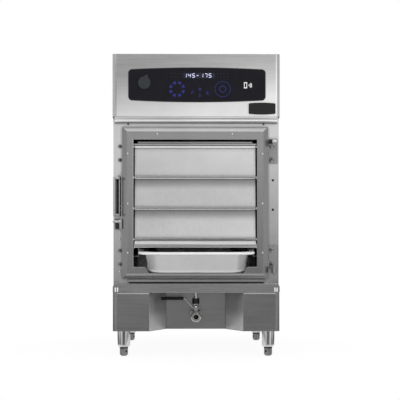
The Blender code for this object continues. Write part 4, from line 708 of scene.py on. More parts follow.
class CabinetColours(bpy.types.PropertyGroup):
    """Colours of the finishes."""

    steel: bpy.props.FloatVectorProperty(
        name="Brushed steel", description="Head, shell and flaps", subtype="COLOR", size=4,
        min=0.0, max=1.0, default=linear("dcdcdc"))
    bezel_steel: bpy.props.FloatVectorProperty(
        name="Bezel steel", description="Front bezel beside the door, and the ledge", subtype="COLOR", size=4,
        min=0.0, max=1.0, default=linear("c9c9c9"))
    door_steel: bpy.props.FloatVectorProperty(
        name="Door frame steel", description="Darker sheet of the door frame", subtype="COLOR", size=4,
        min=0.0, max=1.0, default=linear("9a9a9a"))
    base_steel: bpy.props.FloatVectorProperty(
        name="Base steel", description="Dark sheet of the base skirt", subtype="COLOR", size=4,
        min=0.0, max=1.0, default=linear("9c9c9c"))
    panel: bpy.props.FloatVectorProperty(
        name="Control panel", description="Overlay of the control panel", subtype="COLOR", size=4,
        min=0.0, max=1.0, default=linear("1a191e"))
    symbols: bpy.props.FloatVectorProperty(
        name="Symbols", description="Blue symbols on the panel", subtype="COLOR", size=4,
        min=0.0, max=1.0, default=linear("111a62"))
    digits: bpy.props.FloatVectorProperty(
        name="Digits", description="Lit numerals of the display", subtype="COLOR", size=4,
        min=0.0, max=1.0, default=linear("dcdcff"))


class CabinetSizes(bpy.types.PropertyGroup):
    """Sizes of the small pieces."""

    rivet_radius: bpy.props.FloatProperty(
        name="Rivet radius", description="Head of a door rivet", default=0.0029, min=0.001, max=0.01,
        unit="LENGTH", precision=4)
    bolt_radius: bpy.props.FloatProperty(
        name="Bolt radius", description="Button head over a hinge bolt", default=0.0069, min=0.003, max=0.012,
        unit="LENGTH", precision=4)
    screw_radius: bpy.props.FloatProperty(
        name="Screw radius", description="Head of a body screw", default=0.0042, min=0.001, max=0.01,
        unit="LENGTH", precision=4)
    digit_width: bpy.props.FloatProperty(
        name="Digit width", description="Middle of one side bar to the other", default=0.0068, min=0.002,
        max=0.01, unit="LENGTH", precision=4)
    digit_height: bpy.props.FloatProperty(
        name="Digit height", description="Middle of the top bar to the bottom one", default=0.0106, min=0.004,
        max=0.014, unit="LENGTH", precision=4)
    ring_radius: bpy.props.FloatProperty(
        name="Ring radius", description="Outer radius of the round symbols", default=0.0226, min=0.01,
        max=0.03, unit="LENGTH", precision=4)
    pan_slope: bpy.props.FloatProperty(
        name="Pan slope", description="Degrees that the racks tip the pan forward", default=4.5,
        min=0.0, max=10.0, precision=2)
    panel_border: bpy.props.FloatProperty(
        name="Panel border", description="Width of the black rim of the panel", default=0.0026, min=0.0005,
        max=0.006, unit="LENGTH", precision=4)


# Operators


class CABINET_OT_finishes(bpy.types.Operator):
    """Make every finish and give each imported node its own"""

    bl_idname = "cabinet.finishes"
    bl_label = "Finishes"

    def execute(self, context):
        colours = context.scene.cabinet_colours
        # The last pair of each brushed finish is the reach and darkest share of its painted corner shade.
        steel = brushed_stainless("brushed_stainless_head", colours.steel[:], 0.12, "X", 0.03, 0.03,
                                  (0.004, 0.8))
        body = brushed_stainless("brushed_stainless_body", colours.bezel_steel[:], 0.15, "Z", 0.035, 0.04,
                                 (0.010, 0.45))
        door = brushed_stainless("brushed_stainless_door", colours.door_steel[:], 0.22, "Z", 0.06, 0.06,
                                 (0.004, 0.8))
        base = brushed_stainless("brushed_stainless_base", colours.base_steel[:], 0.22, "X", 0.035, 0.04,
                                 (0.005, 0.8))
        flap = brushed_stainless("brushed_stainless_flap", colours.steel[:], 0.22, "Z", 0.025, 0.03,
                                 (0.012, 0.4))
        lower_flap = brushed_stainless("brushed_stainless_lower_flap_painted_shade", colours.steel[:], 0.22, "Z", 0.025,
                                       0.03, (0.012, 0.4))
        first_lip, flap_pitch = 0.5090, 0.0880
        # The lower flaps are darker towards their tops, under the lip of the flap above: painted shade.
        filmed(lower_flap, first_lip, flap_pitch, 0.009, 0.036, 0.50)
        # A lighter copy of the head steel for the head's lower fold and the ledge's top: painted highlight.
        brushed_stainless("brushed_stainless_hem", linear("f8f8f8"), 0.10, "X", 0.03, 0.03, (0.002, 0.95))
        ledge = brushed_stainless("brushed_stainless_ledge", linear("a2a2a2"), 0.28, "X", 0.03, 0.04,
                                  (0.002, 0.9))
        # A lighter, half-matt copy of the flap steel for the lifted flap and the knuckles: painted highlight.
        bright_flap = brushed_stainless("brushed_stainless_lifted_flap", linear("fbfbfb"), 0.30, "Z", 0.02,
                                        0.03, (0.004, 0.8), metallic=0.4)
        trim = brushed_stainless("brushed_stainless_trim", linear("b4b4b5"), 0.16, "X", 0.04, 0.04)
        oxide = polished_stainless("black_oxide_steel", linear("3a3a3b"), 0.3)
        zinc = cast_aluminium("die_cast_zinc", linear("b4b4b5"))
        polished_stainless("tumbled_bolt_steel", linear("a4a4a4"), 0.12)
        moulded_nylon("white_moulded_nylon", linear("e4e4e2"))
        mill = mill_stainless("mill_finish_stainless", linear("b4b5b6"), 0.3)
        # A lighter, half-matt sheet over the recess's slants: painted light, darker towards the base's top as
        # painted shade.
        blasted = mill_stainless("bead_blasted_stainless", linear("b2b2b2"), 0.42, metallic=0.5)
        base_top, once = 0.1822, 1.0     # a pitch longer than the cabinet is tall paints the shade once, under the base's top
        filmed(blasted, base_top, once, 0.046, 0.078, 0.72)
        dark_mill = mill_stainless("pickled_stainless", linear("a3a4a5"), 0.38)
        drawn_stainless("deep_drawn_stainless", linear("cdcdcd"), 0.27)
        # A lighter, half-matt copy of the pan steel, laid over the pan's rim: painted highlight.
        drawn_stainless("coined_pan_rim", linear("fafafa"), 0.30, metallic=0.5)
        bright = polished_stainless("tumbled_stainless", linear("e2e2e2"), 0.13)
        drawn_tube("drawn_tube_stainless", linear("c6c6c6"), 0.09)
        foot = drawn_tube("turned_foot_stainless", linear("767676"), 0.12)
        brass = nickel_plated_brass("nickel_plated_brass", linear("cfcfcc"))
        heater = heater_sheath("oxidised_heater_sheath", linear("5a534c"))
        casting = cast_aluminium("die_cast_aluminium", linear("b5b6b8"))
        panel = printed_polyester("printed_polyester", colours.panel[:])
        window = smoked_acrylic("smoked_acrylic", linear("20222e"))
        rubber = silicone_rubber("silicone_rubber", linear("272b2d"))
        seal = silicone_rubber("grey_silicone_seal", linear("4a4b4c"))
        vinyl = dipped_vinyl("dipped_vinyl", linear("0b0b0c"))
        nylon = moulded_nylon("black_moulded_nylon", linear("1f1f21"))
        badge = moulded_nylon("black_badge_abs", linear("121213"))
        board = solder_mask("green_solder_mask", linear("1f5a34"))
        wool = mineral_wool("mineral_wool", linear("cabd8e"))
        lit_segment("lit_light_guide", colours.digits[:], 1.0)
        screen_ink("blue_screen_ink", colours.symbols[:], 0.12)
        screen_ink("white_screen_ink", linear("f2f2f2"), 0.1)
        screen_ink("grey_screen_ink", linear("34353a"))
        screen_ink("black_rim_ink", linear("050506"))

        finish_nodes(steel, "head_fascia", "head_cover", "head_rear", "head_lip")
        finish_nodes(body, "front_bezel", "outer_shell", "rear_panel")
        finish_nodes(ledge, "drip_ledge")
        finish_nodes(door, "door_frame")
        finish_nodes(base, "base_skirt")
        finish_nodes(flap, "flap_1")
        finish_nodes(lower_flap, "flap_2", "flap_3")
        finish_nodes(bright_flap, "flap_4")
        finish_nodes(mill, "cavity_liner", "rack_left", "rack_right", "water_tank", "base_deck",
                     "latch_strike")
        finish_nodes(dark_mill, "base_floor", "hinge_bracket_upper", "hinge_bracket_lower",
                     "hinge_arm_upper", "hinge_arm_lower")
        finish_nodes(bright, "flap_rod_1", "flap_rod_2", "flap_rod_3", "flap_rod_4", "air_probe",
                     "drain_tube", "valve_lever")
        finish_nodes(trim, "latch_pull")
        finish_nodes(foot, *[f"foot_{row}_{side}" for row in ("front", "rear") for side in ("left", "right")])
        finish_nodes(brass, "valve_body", "drain_elbow")
        # The valve ball's black stands in for the shade inside the valve's bore: painted shade.
        finish_nodes(oxide, "drain_nut", "valve_ball")
        finish_nodes(heater, "water_heater", "air_heater")
        finish_nodes(casting, "power_supply")
        finish_nodes(panel, "control_panel")
        finish_nodes(window, "display_window")
        finish_nodes(rubber, "usb_cap")
        finish_nodes(seal, "door_seal")
        finish_nodes(vinyl, "lever_sleeve")
        finish_nodes(nylon, "usb_socket", "power_inlet")
        finish_nodes(zinc, "latch_body")
        finish_nodes(badge, "badge_plate")
        finish_nodes(board, "control_board")
        finish_nodes(wool, "insulation")
        return {"FINISHED"}


class CABINET_OT_door_rivets(bpy.types.Operator):
    """Eight domed rivets that hold the door frame together, each in a shallow dimple"""

    bl_idname = "cabinet.door_rivets"
    bl_label = "Door rivets"

    def execute(self, context):
        radius = context.scene.cabinet_sizes.rivet_radius
        low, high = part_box("door_frame")
        wide, tall = high.x - low.x, high.z - low.z
        stile, rail = 0.0161, 0.0205
        places = [(low.x + share * wide, high.z - rail) for share in (0.241, 0.754)]
        places += [(side, low.z + share * tall) for side in (low.x + stile, high.x - stile)
                   for share in (0.170, 0.494, 0.822)]
        dome = [(0, 0.0014), (radius * 0.4, 0.0013), (radius * 0.75, 0.0009), (radius, 0), (0, 0)]
        domes, dimples = [], []
        for across, up in places:
            place = front_place(across, up, 0)
            domes.append(spun(dome, place, steps=16))
            dimples.append(ring(radius * 0.98, radius * 1.45, -0.0002, 0.0002, place, steps=20))
        make_piece("door_rivets", domes, "door", found("tumbled_stainless"))
        make_piece("door_rivet_dimples", dimples, "door", found("brushed_stainless_base"))
        return {"FINISHED"}


class CABINET_OT_pan(bpy.types.Operator):
    """Deep-drawn steam table pan with its rolled rim, shoulder and round corners"""

    bl_idname = "cabinet.pan"
    bl_label = "Pan"

    def execute(self, context):
        width, length, depth, sheet = 0.324, 0.530, 0.0606, 0.0012
        rim, draft, fillet = 0.0145, 0.0085, 0.012      # flat rim, lean of the walls, round at the floor
        roll, film = 0.0030, 0.0002                     # radius of the rolled edge, thickness of a film over it that carries a painted highlight
        rim_corner, floor_corner = 0.0200, 0.0245
        nose, rim_top = FRONT - 0.0901, 0.2980
        foot = rim + draft
        # Stations of (in from the rim's edge, below its top, corner radius), inner floor to outer floor
        inside = floor_round(foot + sheet, depth - sheet, fillet, floor_corner)
        inside += [(rim + sheet + draft * 0.35, 0.020, 0.0410), (rim + sheet + draft * 0.06, 0.0040, 0.0435),
                   (rim + sheet * 0.4, 0.0014, 0.0443), (rim - 0.0012, 0.0002, 0.0440), (0.0046, 0.0, 0.0180)]
        outside = [(0.0046, sheet, 0.0170), (rim - 0.0020, sheet, 0.0430),
                   (rim - 0.0006, sheet + 0.0012, 0.0448), (rim + draft * 0.35, 0.020, 0.0430)]
        outside += reversed(floor_round(foot, depth, fillet, floor_corner))
        pan_rows = inside + rolled_edge(roll, roll, rim_corner) + outside
        coined_rows = [(rim - 0.0016, -film, 0.0438), (0.0046, -film, 0.0180)]
        coined_rows += rolled_edge(roll, roll + film, rim_corner)
        coined_rows += [(0.0046, sheet + film, 0.0170), (rim - 0.0022, sheet + film, 0.0430)]
        slope = math.radians(context.scene.cabinet_sizes.pan_slope)
        tipped = Matrix.Translation((0, nose, rim_top)) @ Matrix.Rotation(slope, 4, "X")
        skins = []
        for rows, hollow in ((pan_rows, False), (coined_rows, True)):
            skin = lofted([(width - 2 * margin, length - 2 * margin, corner, -below)
                           for margin, below, corner in rows], hollow=hollow)
            bmesh.ops.translate(skin, verts=skin.verts, vec=(0, length / 2, 0))
            skin.transform(tipped)
            skins.append(skin)
        pan = make_piece("drawn_pan", skins[:1], "pan", found("deep_drawn_stainless"))
        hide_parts("bin_pan")
        make_piece("pan_rim_highlight_film", skins[1:], "pan", found("coined_pan_rim"))
        return {"FINISHED"}


class CABINET_OT_flap_knuckles(bpy.types.Operator):
    """Rolled knuckle of each flap, closed round its rod, and the flat face of its lip"""

    bl_idname = "cabinet.flap_knuckles"
    bl_label = "Flap knuckles"

    def execute(self, context):
        radius, ease = 0.0042, 0.0004
        for number in range(1, 5):
            low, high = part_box(f"flap_rod_{number}")
            left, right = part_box(f"flap_{number}")
            middle = ((left.x + right.x) / 2, (low.y + high.y) / 2, (low.z + high.z) / 2)
            half = (right.x - left.x) / 2 - 0.0006
            tube = [(0, -half), (radius - 0.0003, -half), (radius, -half + ease), (radius, half - ease),
                    (radius - 0.0003, half), (0, half)]
            # The knuckles take the lighter copy of the flap steel: painted highlight.
            make_piece(f"flap_{number}_knuckle", [spun(tube, middle, "right", 32)], f"flap_{number}",
                       found("brushed_stainless_lifted_flap"))
            proud, sunk, bottom, top = 0.0003, 0.0010, 0.0012, 0.0066
            if number == 4:     # the shorter, lifted flap has a taller lip face
                proud, sunk, bottom, top = 0.0004, 0.0008, 0.0040, 0.0122
            lip = plate((left.x + 0.0004, left.y - proud, left.z + bottom),
                        (right.x - 0.0004, left.y + sunk, left.z + top), 0, 0.0003)
            make_piece(f"flap_{number}_lip_face", [lip], f"flap_{number}", found("brushed_stainless_trim"))
        return {"FINISHED"}


class CABINET_OT_hinge_bolts(bpy.types.Operator):
    """Button-head bolts over the hinge plates, and the ones that plug the holes for a left-hand door"""

    bl_idname = "cabinet.hinge_bolts"
    bl_label = "Hinge bolts and plugs"

    def execute(self, context):
        radius = context.scene.cabinet_sizes.bolt_radius
        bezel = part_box("front_bezel")[1].y - BEZEL_SHEET
        spots = []      # place, head radius and how far the socket's floor stands off the sheet
        for name, drops in (("hinge_bracket_upper", (0.0200, 0.0600)),
                            ("hinge_bracket_lower", (0.0112, 0.0512))):
            low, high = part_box(name)
            for drop in drops:
                place = Vector((low.x + 0.0094, high.y - HINGE_PLATE, high.z - drop))
                spots.append((place, radius, 0.0042))
        for up in (0.6002, 0.5613, 0.3019, 0.2629):
            spots.append((Vector((-0.2180, bezel, up)), radius * 0.82, 0.0010))
        bolts, sockets = [], []
        # (share of the radius, height over the socket's floor): the socket's wall, then the dome round it
        steps = ((0.40, 0), (0.40, 0.0026), (0.56, 0.0023), (0.72, 0.0017), (0.86, 0.0008), (0.95, -0.0001),
                 (1.0, -0.0009))
        for place, size, floor in spots:
            head = [(0, floor)]
            head += [(size * share, floor + rise) for share, rise in steps]
            head += [(size, 0), (0, 0)]
            bolts.append(spun(head, place, "front", 24))
            # A black disc on each socket's floor stands in for the shade inside it: painted shade.
            cup = [(0, floor + 0.0003), (size * 0.42, floor + 0.0003), (size * 0.42, floor + 0.0001),
                   (0, floor + 0.0001)]
            sockets.append(spun(cup, place, "front", 6))
        make_piece("hinge_button_bolts", bolts, "cabinet", found("tumbled_bolt_steel"))
        make_piece("hinge_bolt_socket_shade", sockets, "cabinet", found("black_oxide_steel"))

        low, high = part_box("hinge_bracket_upper")
        lug = high.z - 0.0147
        cover = plate((0.2166, low.y - 0.0006, lug + 0.0006), (0.2288, FRONT - 0.0004, lug + 0.0104), 0.0022,
                      0.0005)
        make_piece("hinge_knuckle_cover", [cover], "cabinet", found("tumbled_stainless"))
        # A black block fills the gap between the knuckle and the door's edge: painted shade of that gap.
        block = plate((0.2078, FRONT + 0.0115, lug - 0.0002),
                      (0.2158, high.y - HINGE_PLATE + 0.0002, lug + 0.0122), 0, 0.0005)
        make_piece("hinge_gap_painted_shade", [block], "cabinet", found("black_moulded_nylon"))
        return {"FINISHED"}


class CABINET_OT_body_screws(bpy.types.Operator):
    """Screws in the bezel beside the door, along the rear of the body and round the rear of the head"""

    bl_idname = "cabinet.body_screws"
    bl_label = "Body screws"

    def execute(self, context):
        radius = context.scene.cabinet_sizes.screw_radius
        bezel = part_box("front_bezel")[1].y - BEZEL_SHEET
        plugs = [pan_screw(radius * 0.8, 0.0016, (0.2200, bezel, up)) for up in (0.5037, 0.4193)]
        make_piece("bezel_plugs", plugs, "cabinet", found("black_oxide_steel"))
        heads = [pan_screw(radius * 0.7, 0.0016, (-0.2192, bezel, up)) for up in (0.3357, 0.2426)]
        for name, rows in (("rear_panel", 4), ("head_rear", 2)):
            low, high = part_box(name)
            for across in (low.x + 0.011, high.x - 0.011):
                for step in range(rows):
                    up = low.z + 0.020 + (high.z - low.z - 0.040) * step / (rows - 1)
                    heads.append(pan_screw(radius, 0.0022, (across, high.y, up), "rear"))
        make_piece("body_screws", heads, "cabinet", found("tumbled_stainless"))
        bumper = [(0, 0.0024), (0.0018, 0.0024), (0.0026, 0.0012), (0.0026, 0), (0, 0)]
        bumpers = [spun(bumper, (across, bezel, 0.6640), steps=14) for across in (-0.1943, 0.1931)]
        make_piece("door_bumpers", bumpers, "cabinet", found("silicone_rubber"))
        return {"FINISHED"}


class CABINET_OT_head_folds(bpy.types.Operator):
    """Hem, lower fold and corner covers under the head"""

    bl_idname = "cabinet.head_folds"
    bl_label = "Head folds"

    def execute(self, context):
        low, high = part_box("head_lip")
        left, right = low.x + 0.0005, high.x - 0.0005
        fold_line = high.z - 0.0062     # the hem is above it, the fold below
        hem = plate((left, low.y - 0.0006, fold_line), (right, low.y + 0.008, high.z), 0, 0.0004)
        make_piece("head_hem", [hem], "cabinet", found("brushed_stainless_head"))
        # The lower fold takes the lighter copy of the head steel: painted highlight.
        fold = plate((left, low.y + 0.0032, low.z + 0.0006), (right, low.y + 0.016, fold_line), 0, 0.0003)
        make_piece("head_lower_fold", [fold], "cabinet", found("brushed_stainless_hem"))
        covers = [side_plate(side, 0.2321, 0.2368, (FRONT + 0.0300, low.z - 0.0096),
                             (high.y + 0.0012, high.z + 0.0004), 0, 0.0003) for side in (-1, 1)]
        make_piece("head_corner_covers", covers, "cabinet", found("brushed_stainless_head"))
        return {"FINISHED"}


class CABINET_OT_door_trim(bpy.types.Operator):
    """Hood and strip over the first flap, welds at the door's corners, and bright lines along the edges of
    its opening as painted highlight
    """

    bl_idname = "cabinet.door_trim"
    bl_label = "Door trim"

    def execute(self, context):
        hood = plate((-0.1660, FRONT + 0.0054, 0.6072), (0.1600, FRONT + 0.0088, 0.6122), 0, 0.0004)
        make_piece("flap_hood", [hood], "door", found("brushed_stainless_door"))
        strip = plate((-0.1786, FRONT + 0.0034, 0.6018), (0.1726, FRONT + 0.0042, 0.6066), 0, 0.0002)
        make_piece("flap_strip_face", [strip], "door", found("brushed_stainless_trim"))

        low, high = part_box("door_frame")
        bevel = 0.014
        left, right, top, bottom = low.x + bevel, high.x - bevel, high.z - bevel, low.z + bevel
        mouth_left, mouth_right, mouth_low, mouth_high = -0.1793, 0.1733, 0.2555, 0.6185
        seams = [seam((left, top), (mouth_left, mouth_high)), seam((right, top), (mouth_right, mouth_high)),
                 seam((left, bottom), (mouth_left, mouth_low)),
                 seam((right, bottom), (mouth_right, mouth_low))]
        make_piece("door_mitre_seams", seams, "door", found("brushed_stainless_trim"))
        relief, line = 0.1450, 0.0010       # half width of the relief in the lower rail, width of an edge
        # Lines of the brighter head steel along the opening's edges: painted highlight.
        edges = [seam((mouth_left, mouth_low), (mouth_left, mouth_high - 0.0005), line),
                 seam((mouth_left, mouth_low), (-relief, mouth_low), line),
                 seam((relief, mouth_low), (mouth_right, mouth_low), line)]
        make_piece("door_mouth_painted_highlights", edges, "door", found("brushed_stainless_head"))
        return {"FINISHED"}


class CABINET_OT_sill_gaskets(bpy.types.Operator):
    """Two dark strips on the bezel, between the door and the ledge: painted shade of the gap and the groove
    there
    """

    bl_idname = "cabinet.sill_gaskets"
    bl_label = "Sill shade strips"

    def execute(self, context):
        half = 0.1930
        drip = plate((-half, FRONT + 0.0196, 0.2076), (half, FRONT + 0.0222, 0.2128), 0, 0.0004)
        make_piece("sill_drip_painted_shade", [drip], "cabinet", found("black_badge_abs"))
        top = plate((-half, FRONT + 0.0206, 0.2196), (half, FRONT + 0.0224, 0.2216), 0, 0.0004)
        make_piece("sill_groove_painted_shade", [top], "cabinet", found("silicone_rubber"))
        return {"FINISHED"}


class CABINET_OT_base_trim(bpy.types.Operator):
    """Bright strips along the top of the base, a painted highlight, and lighter sheets on the slanted sides
    of its recess, painted light that is darker towards the top as painted shade
    """

    bl_idname = "cabinet.base_trim"
    bl_label = "Base trim"

    def execute(self, context):
        low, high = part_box("base_skirt")
        wide, narrow, deep = 0.1340, 0.0860, 0.1015     # half widths of the recess in front and behind
        # Strips of the brighter head steel along the base's top edge: painted highlight.
        hems = [side_plate(side, wide, high.x - 0.012, (FRONT - 0.0004, high.z - 0.0030),
                           (FRONT + 0.0010, high.z - 0.0004), 0, 0.0004) for side in (-1, 1)]
        make_piece("base_top_highlight_strips", hems, "cabinet", found("brushed_stainless_head"))
        run, turn = math.hypot(wide - narrow, deep), math.atan2(wide - narrow, deep)
        liners = []
        for side in (-1, 1):
            liner = plate((-0.0005, -run / 2 + 0.0006, low.z + 0.0014),
                          (0.0005, run / 2 - 0.0030, high.z - 0.0016), 0, 0.0002)
            middle = (side * (wide + narrow) / 2, FRONT + deep / 2, 0)
            liner.transform(Matrix.Translation(middle) @ Matrix.Rotation(side * turn, 4, "Z"))
            liners.append(liner)
        make_piece("recess_side_liners", liners, "cabinet", found("bead_blasted_stainless"))
        return {"FINISHED"}


class CABINET_OT_ledge_trim(bpy.types.Operator):
    """Bright strip on the ledge's top, a painted highlight, and the two white clips at each of its ends"""

    bl_idname = "cabinet.ledge_trim"
    bl_label = "Ledge trim"

    def execute(self, context):
        low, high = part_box("drip_ledge")
        tread = plate((low.x + 0.0030, low.y + 0.0030, high.z - 0.0003),
                      (high.x - 0.0030, FRONT + 0.0194, high.z + 0.0004), 0, 0.0003)
        make_piece("ledge_tread_painted_highlight", [tread], "cabinet", found("brushed_stainless_hem"))
        margin, pitch, wide = 0.0058, 0.0060, 0.0036
        clips = []
        for side in (-1, 1):
            for step in range(2):
                outer = high.x - margin - pitch * step
                clips.append(side_plate(side, outer - wide, outer, (low.y - 0.0009, low.z + 0.0014),
                                        (low.y + 0.0010, low.z + 0.0135), 0.0008, 0))
        make_piece("ledge_end_clips", clips, "cabinet", found("white_moulded_nylon"))
        return {"FINISHED"}


class CABINET_OT_latch(bpy.types.Operator):
    """Black block between the latch pull and the door, painted shade of the gap there, the keeper's shoes and
    band, and the screws
    """

    bl_idname = "cabinet.latch"
    bl_label = "Latch details"

    def execute(self, context):
        low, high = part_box("latch_body")
        pull_low, pull_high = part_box("latch_pull")
        # The black block fills the gap behind the pull: painted shade.
        case = plate((low.x + 0.0110, low.y + 0.0118, pull_low.z + 0.0080),
                     (high.x - 0.0012, high.y - 0.0006, pull_high.z - 0.0070), 0, 0.0006)
        make_piece("latch_gap_painted_shade", [case], "door", found("black_moulded_nylon"))
        shoes = [plate((-0.2300, FRONT + 0.0033, bottom), (-0.2186, FRONT + 0.0042, top), 0, 0.0002)
                 for bottom, top in ((0.3642, 0.3812), (0.3902, 0.3925))]
        make_piece("latch_keeper_shoes", shoes, "door", found("black_badge_abs"))
        band = plate((-0.2322, FRONT + 0.0030, 0.3832), (-0.2150, FRONT + 0.0042, 0.3880), 0.0008, 0.0002)
        make_piece("latch_keeper_band", [band], "door", found("tumbled_stainless"))
        screws = [pan_screw(0.0024, 0.0014, (across, low.y + 0.0118, up))
                  for across, up in ((-0.2167, 0.5020), (-0.2170, 0.4175))]
        screws.append(pan_screw(0.0030, 0.0020, (-0.2175, low.y + 0.0118, 0.4300)))
        make_piece("latch_screws", screws, "door", found("tumbled_stainless"))
        return {"FINISHED"}


class CABINET_OT_legs(bpy.types.Operator):
    """Turned legs with a tapered end, and the neck and tommy-bar hole of each levelling foot"""

    bl_idname = "cabinet.legs"
    bl_label = "Legs and feet"

    def execute(self, context):
        names = [f"{row}_{side}" for row in ("front", "rear") for side in ("left", "right")]
        legs = []
        for name in names:
            low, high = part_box(f"leg_{name}")
            radius, tall = (high.x - low.x) / 2, high.z - low.z
            tube = [(0, 0), (radius - 0.0052, 0), (radius - 0.0036, 0.0006), (radius - 0.0007, 0.0048),
                    (radius, 0.0064), (radius, 0.0070), (radius, tall - 0.0004), (radius - 0.0004, tall),
                    (0, tall)]
            legs.append(spun(tube, ((low.x + high.x) / 2, (low.y + high.y) / 2, low.z), "up", 48))
        piece = make_piece("turned_legs", legs, "cabinet", found("drawn_tube_stainless"))
        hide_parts(*[f"leg_{name}" for name in names])
        for index, name in enumerate(names):
            low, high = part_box(f"foot_{name}")
            across, along, radius = (low.x + high.x) / 2, (low.y + high.y) / 2, (high.x - low.x) / 2
            neck = ring(radius - 0.0004, radius + 0.0002, 0.0212, 0.0248, (across, along, low.z), "up", 40)
            # The black plug stands in for the shade inside the tommy-bar hole: painted shade.
            hole = spun([(0, 0.0006), (0.0032, 0.0006), (0.0032, -0.0014), (0, -0.0014)], (0, -radius, 0),
                        "front", 18)
            turned = Matrix.Rotation(math.radians(HOLE_TURNS[index]), 4, "Z")
            hole.transform(Matrix.Translation((across, along, low.z + 0.0135)) @ turned)
            make_piece(f"foot_{name}_marks", [neck, hole], f"foot_{name}", found("black_oxide_steel"))
        return {"FINISHED"}


class CABINET_OT_rod_ends(bpy.types.Operator):
    """Push-on caps where each flap's rod enters the door frame, and the hexagons on the drain valve"""

    bl_idname = "cabinet.rod_ends"
    bl_label = "Rod ends and lever nut"

    def execute(self, context):
        caps = []
        for number in range(1, 5):
            low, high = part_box(f"flap_rod_{number}")
            along, up = (low.y + high.y) / 2, (low.z + high.z) / 2
            for across, facing in ((-0.1785, "right"), (0.1725, "left")):
                cap = [(0, 0.0022), (0.0034, 0.0022), (0.0040, 0.0014), (0.0040, 0), (0, 0)]
                caps.append(spun(cap, (across, along, up), facing, 16))
        make_piece("rod_end_caps", caps, "door", found("tumbled_stainless"))
        low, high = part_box("valve_body")
        middle = low.z + 0.0150
        collar = hoop([(0.0070, 0), (0.0150, 0), (0.0150, 0.0062), (0.0128, 0.0090), (0.0092, 0.0090),
                       (0.0070, 0.0068)], (0, low.y + 0.0085, middle), "front", 6)
        bonnet = spun([(0, 0), (0.0104, 0), (0.0104, 0.0034), (0.0090, 0.0044), (0, 0.0044)],
                      (0, FRONT + 0.050, high.z - 0.0078), "up", 6)
        make_piece("valve_hexagons", [collar, bonnet], "cabinet", found("nickel_plated_brass"))
        low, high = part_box("valve_lever")
        hub = (0, (low.y + high.y) / 2, low.z + 0.0025)
        nut = [(0, 0.0062), (0.0030, 0.0062), (0.0030, 0.0040), (0.0052, 0.0040), (0.0058, 0.0030),
               (0.0058, 0), (0, 0)]
        make_piece("lever_nut", [spun(nut, hub, "up", 6)], "drain_lever", found("tumbled_stainless"))
        return {"FINISHED"}


class CABINET_OT_display(bpy.types.Operator):
    """Lit numerals in the display window and the unlit lamps beside it"""

    bl_idname = "cabinet.display"
    bl_label = "Display"

    def execute(self, context):
        sizes = context.scene.cabinet_sizes
        low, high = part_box("display_window")
        middle = (low.z + high.z) / 2
        pitch = 0.0117
        bar, thin, slant = 0.0019, 0.00025, 0.12
        bars = []
        for index, figure in enumerate(SHOWN_NUMBERS):
            across = low.x + 0.0058 + index * pitch
            for name in LIT_SEGMENTS[figure]:
                side, up, flat = SEGMENT_SHARES[name]
                half_x = sizes.digit_width / 2 - bar * 0.35 if flat else bar / 2
                half_z = bar / 2 if flat else sizes.digit_height / 4 - bar * 0.35
                x, z = across + side * sizes.digit_width, middle + up * sizes.digit_height
                shape = plate((x - half_x, low.y - thin, z - half_z), (x + half_x, low.y, z + half_z),
                              bar * 0.3, 0)
                for vertex in shape.verts:
                    vertex.co.x += (vertex.co.z - middle) * slant
                bars.append(shape)
        make_piece("display_numerals", bars, "cabinet", found("lit_light_guide"))
        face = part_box("control_panel")[0].y
        lamp = [(0, 0.0003), (0.0008, 0.0003), (0.0010, 0), (0, 0)]
        lamps = []
        for start in (-0.0697, 0.0605):
            for column in range(4):
                for row in (-0.0042, 0.0052):
                    place = (start + column * 0.0092, face, middle + row)
                    lamps.append(spun(lamp, place, steps=10))
        make_piece("display_unlit_lamps", lamps, "cabinet", found("grey_screen_ink"))
        return {"FINISHED"}


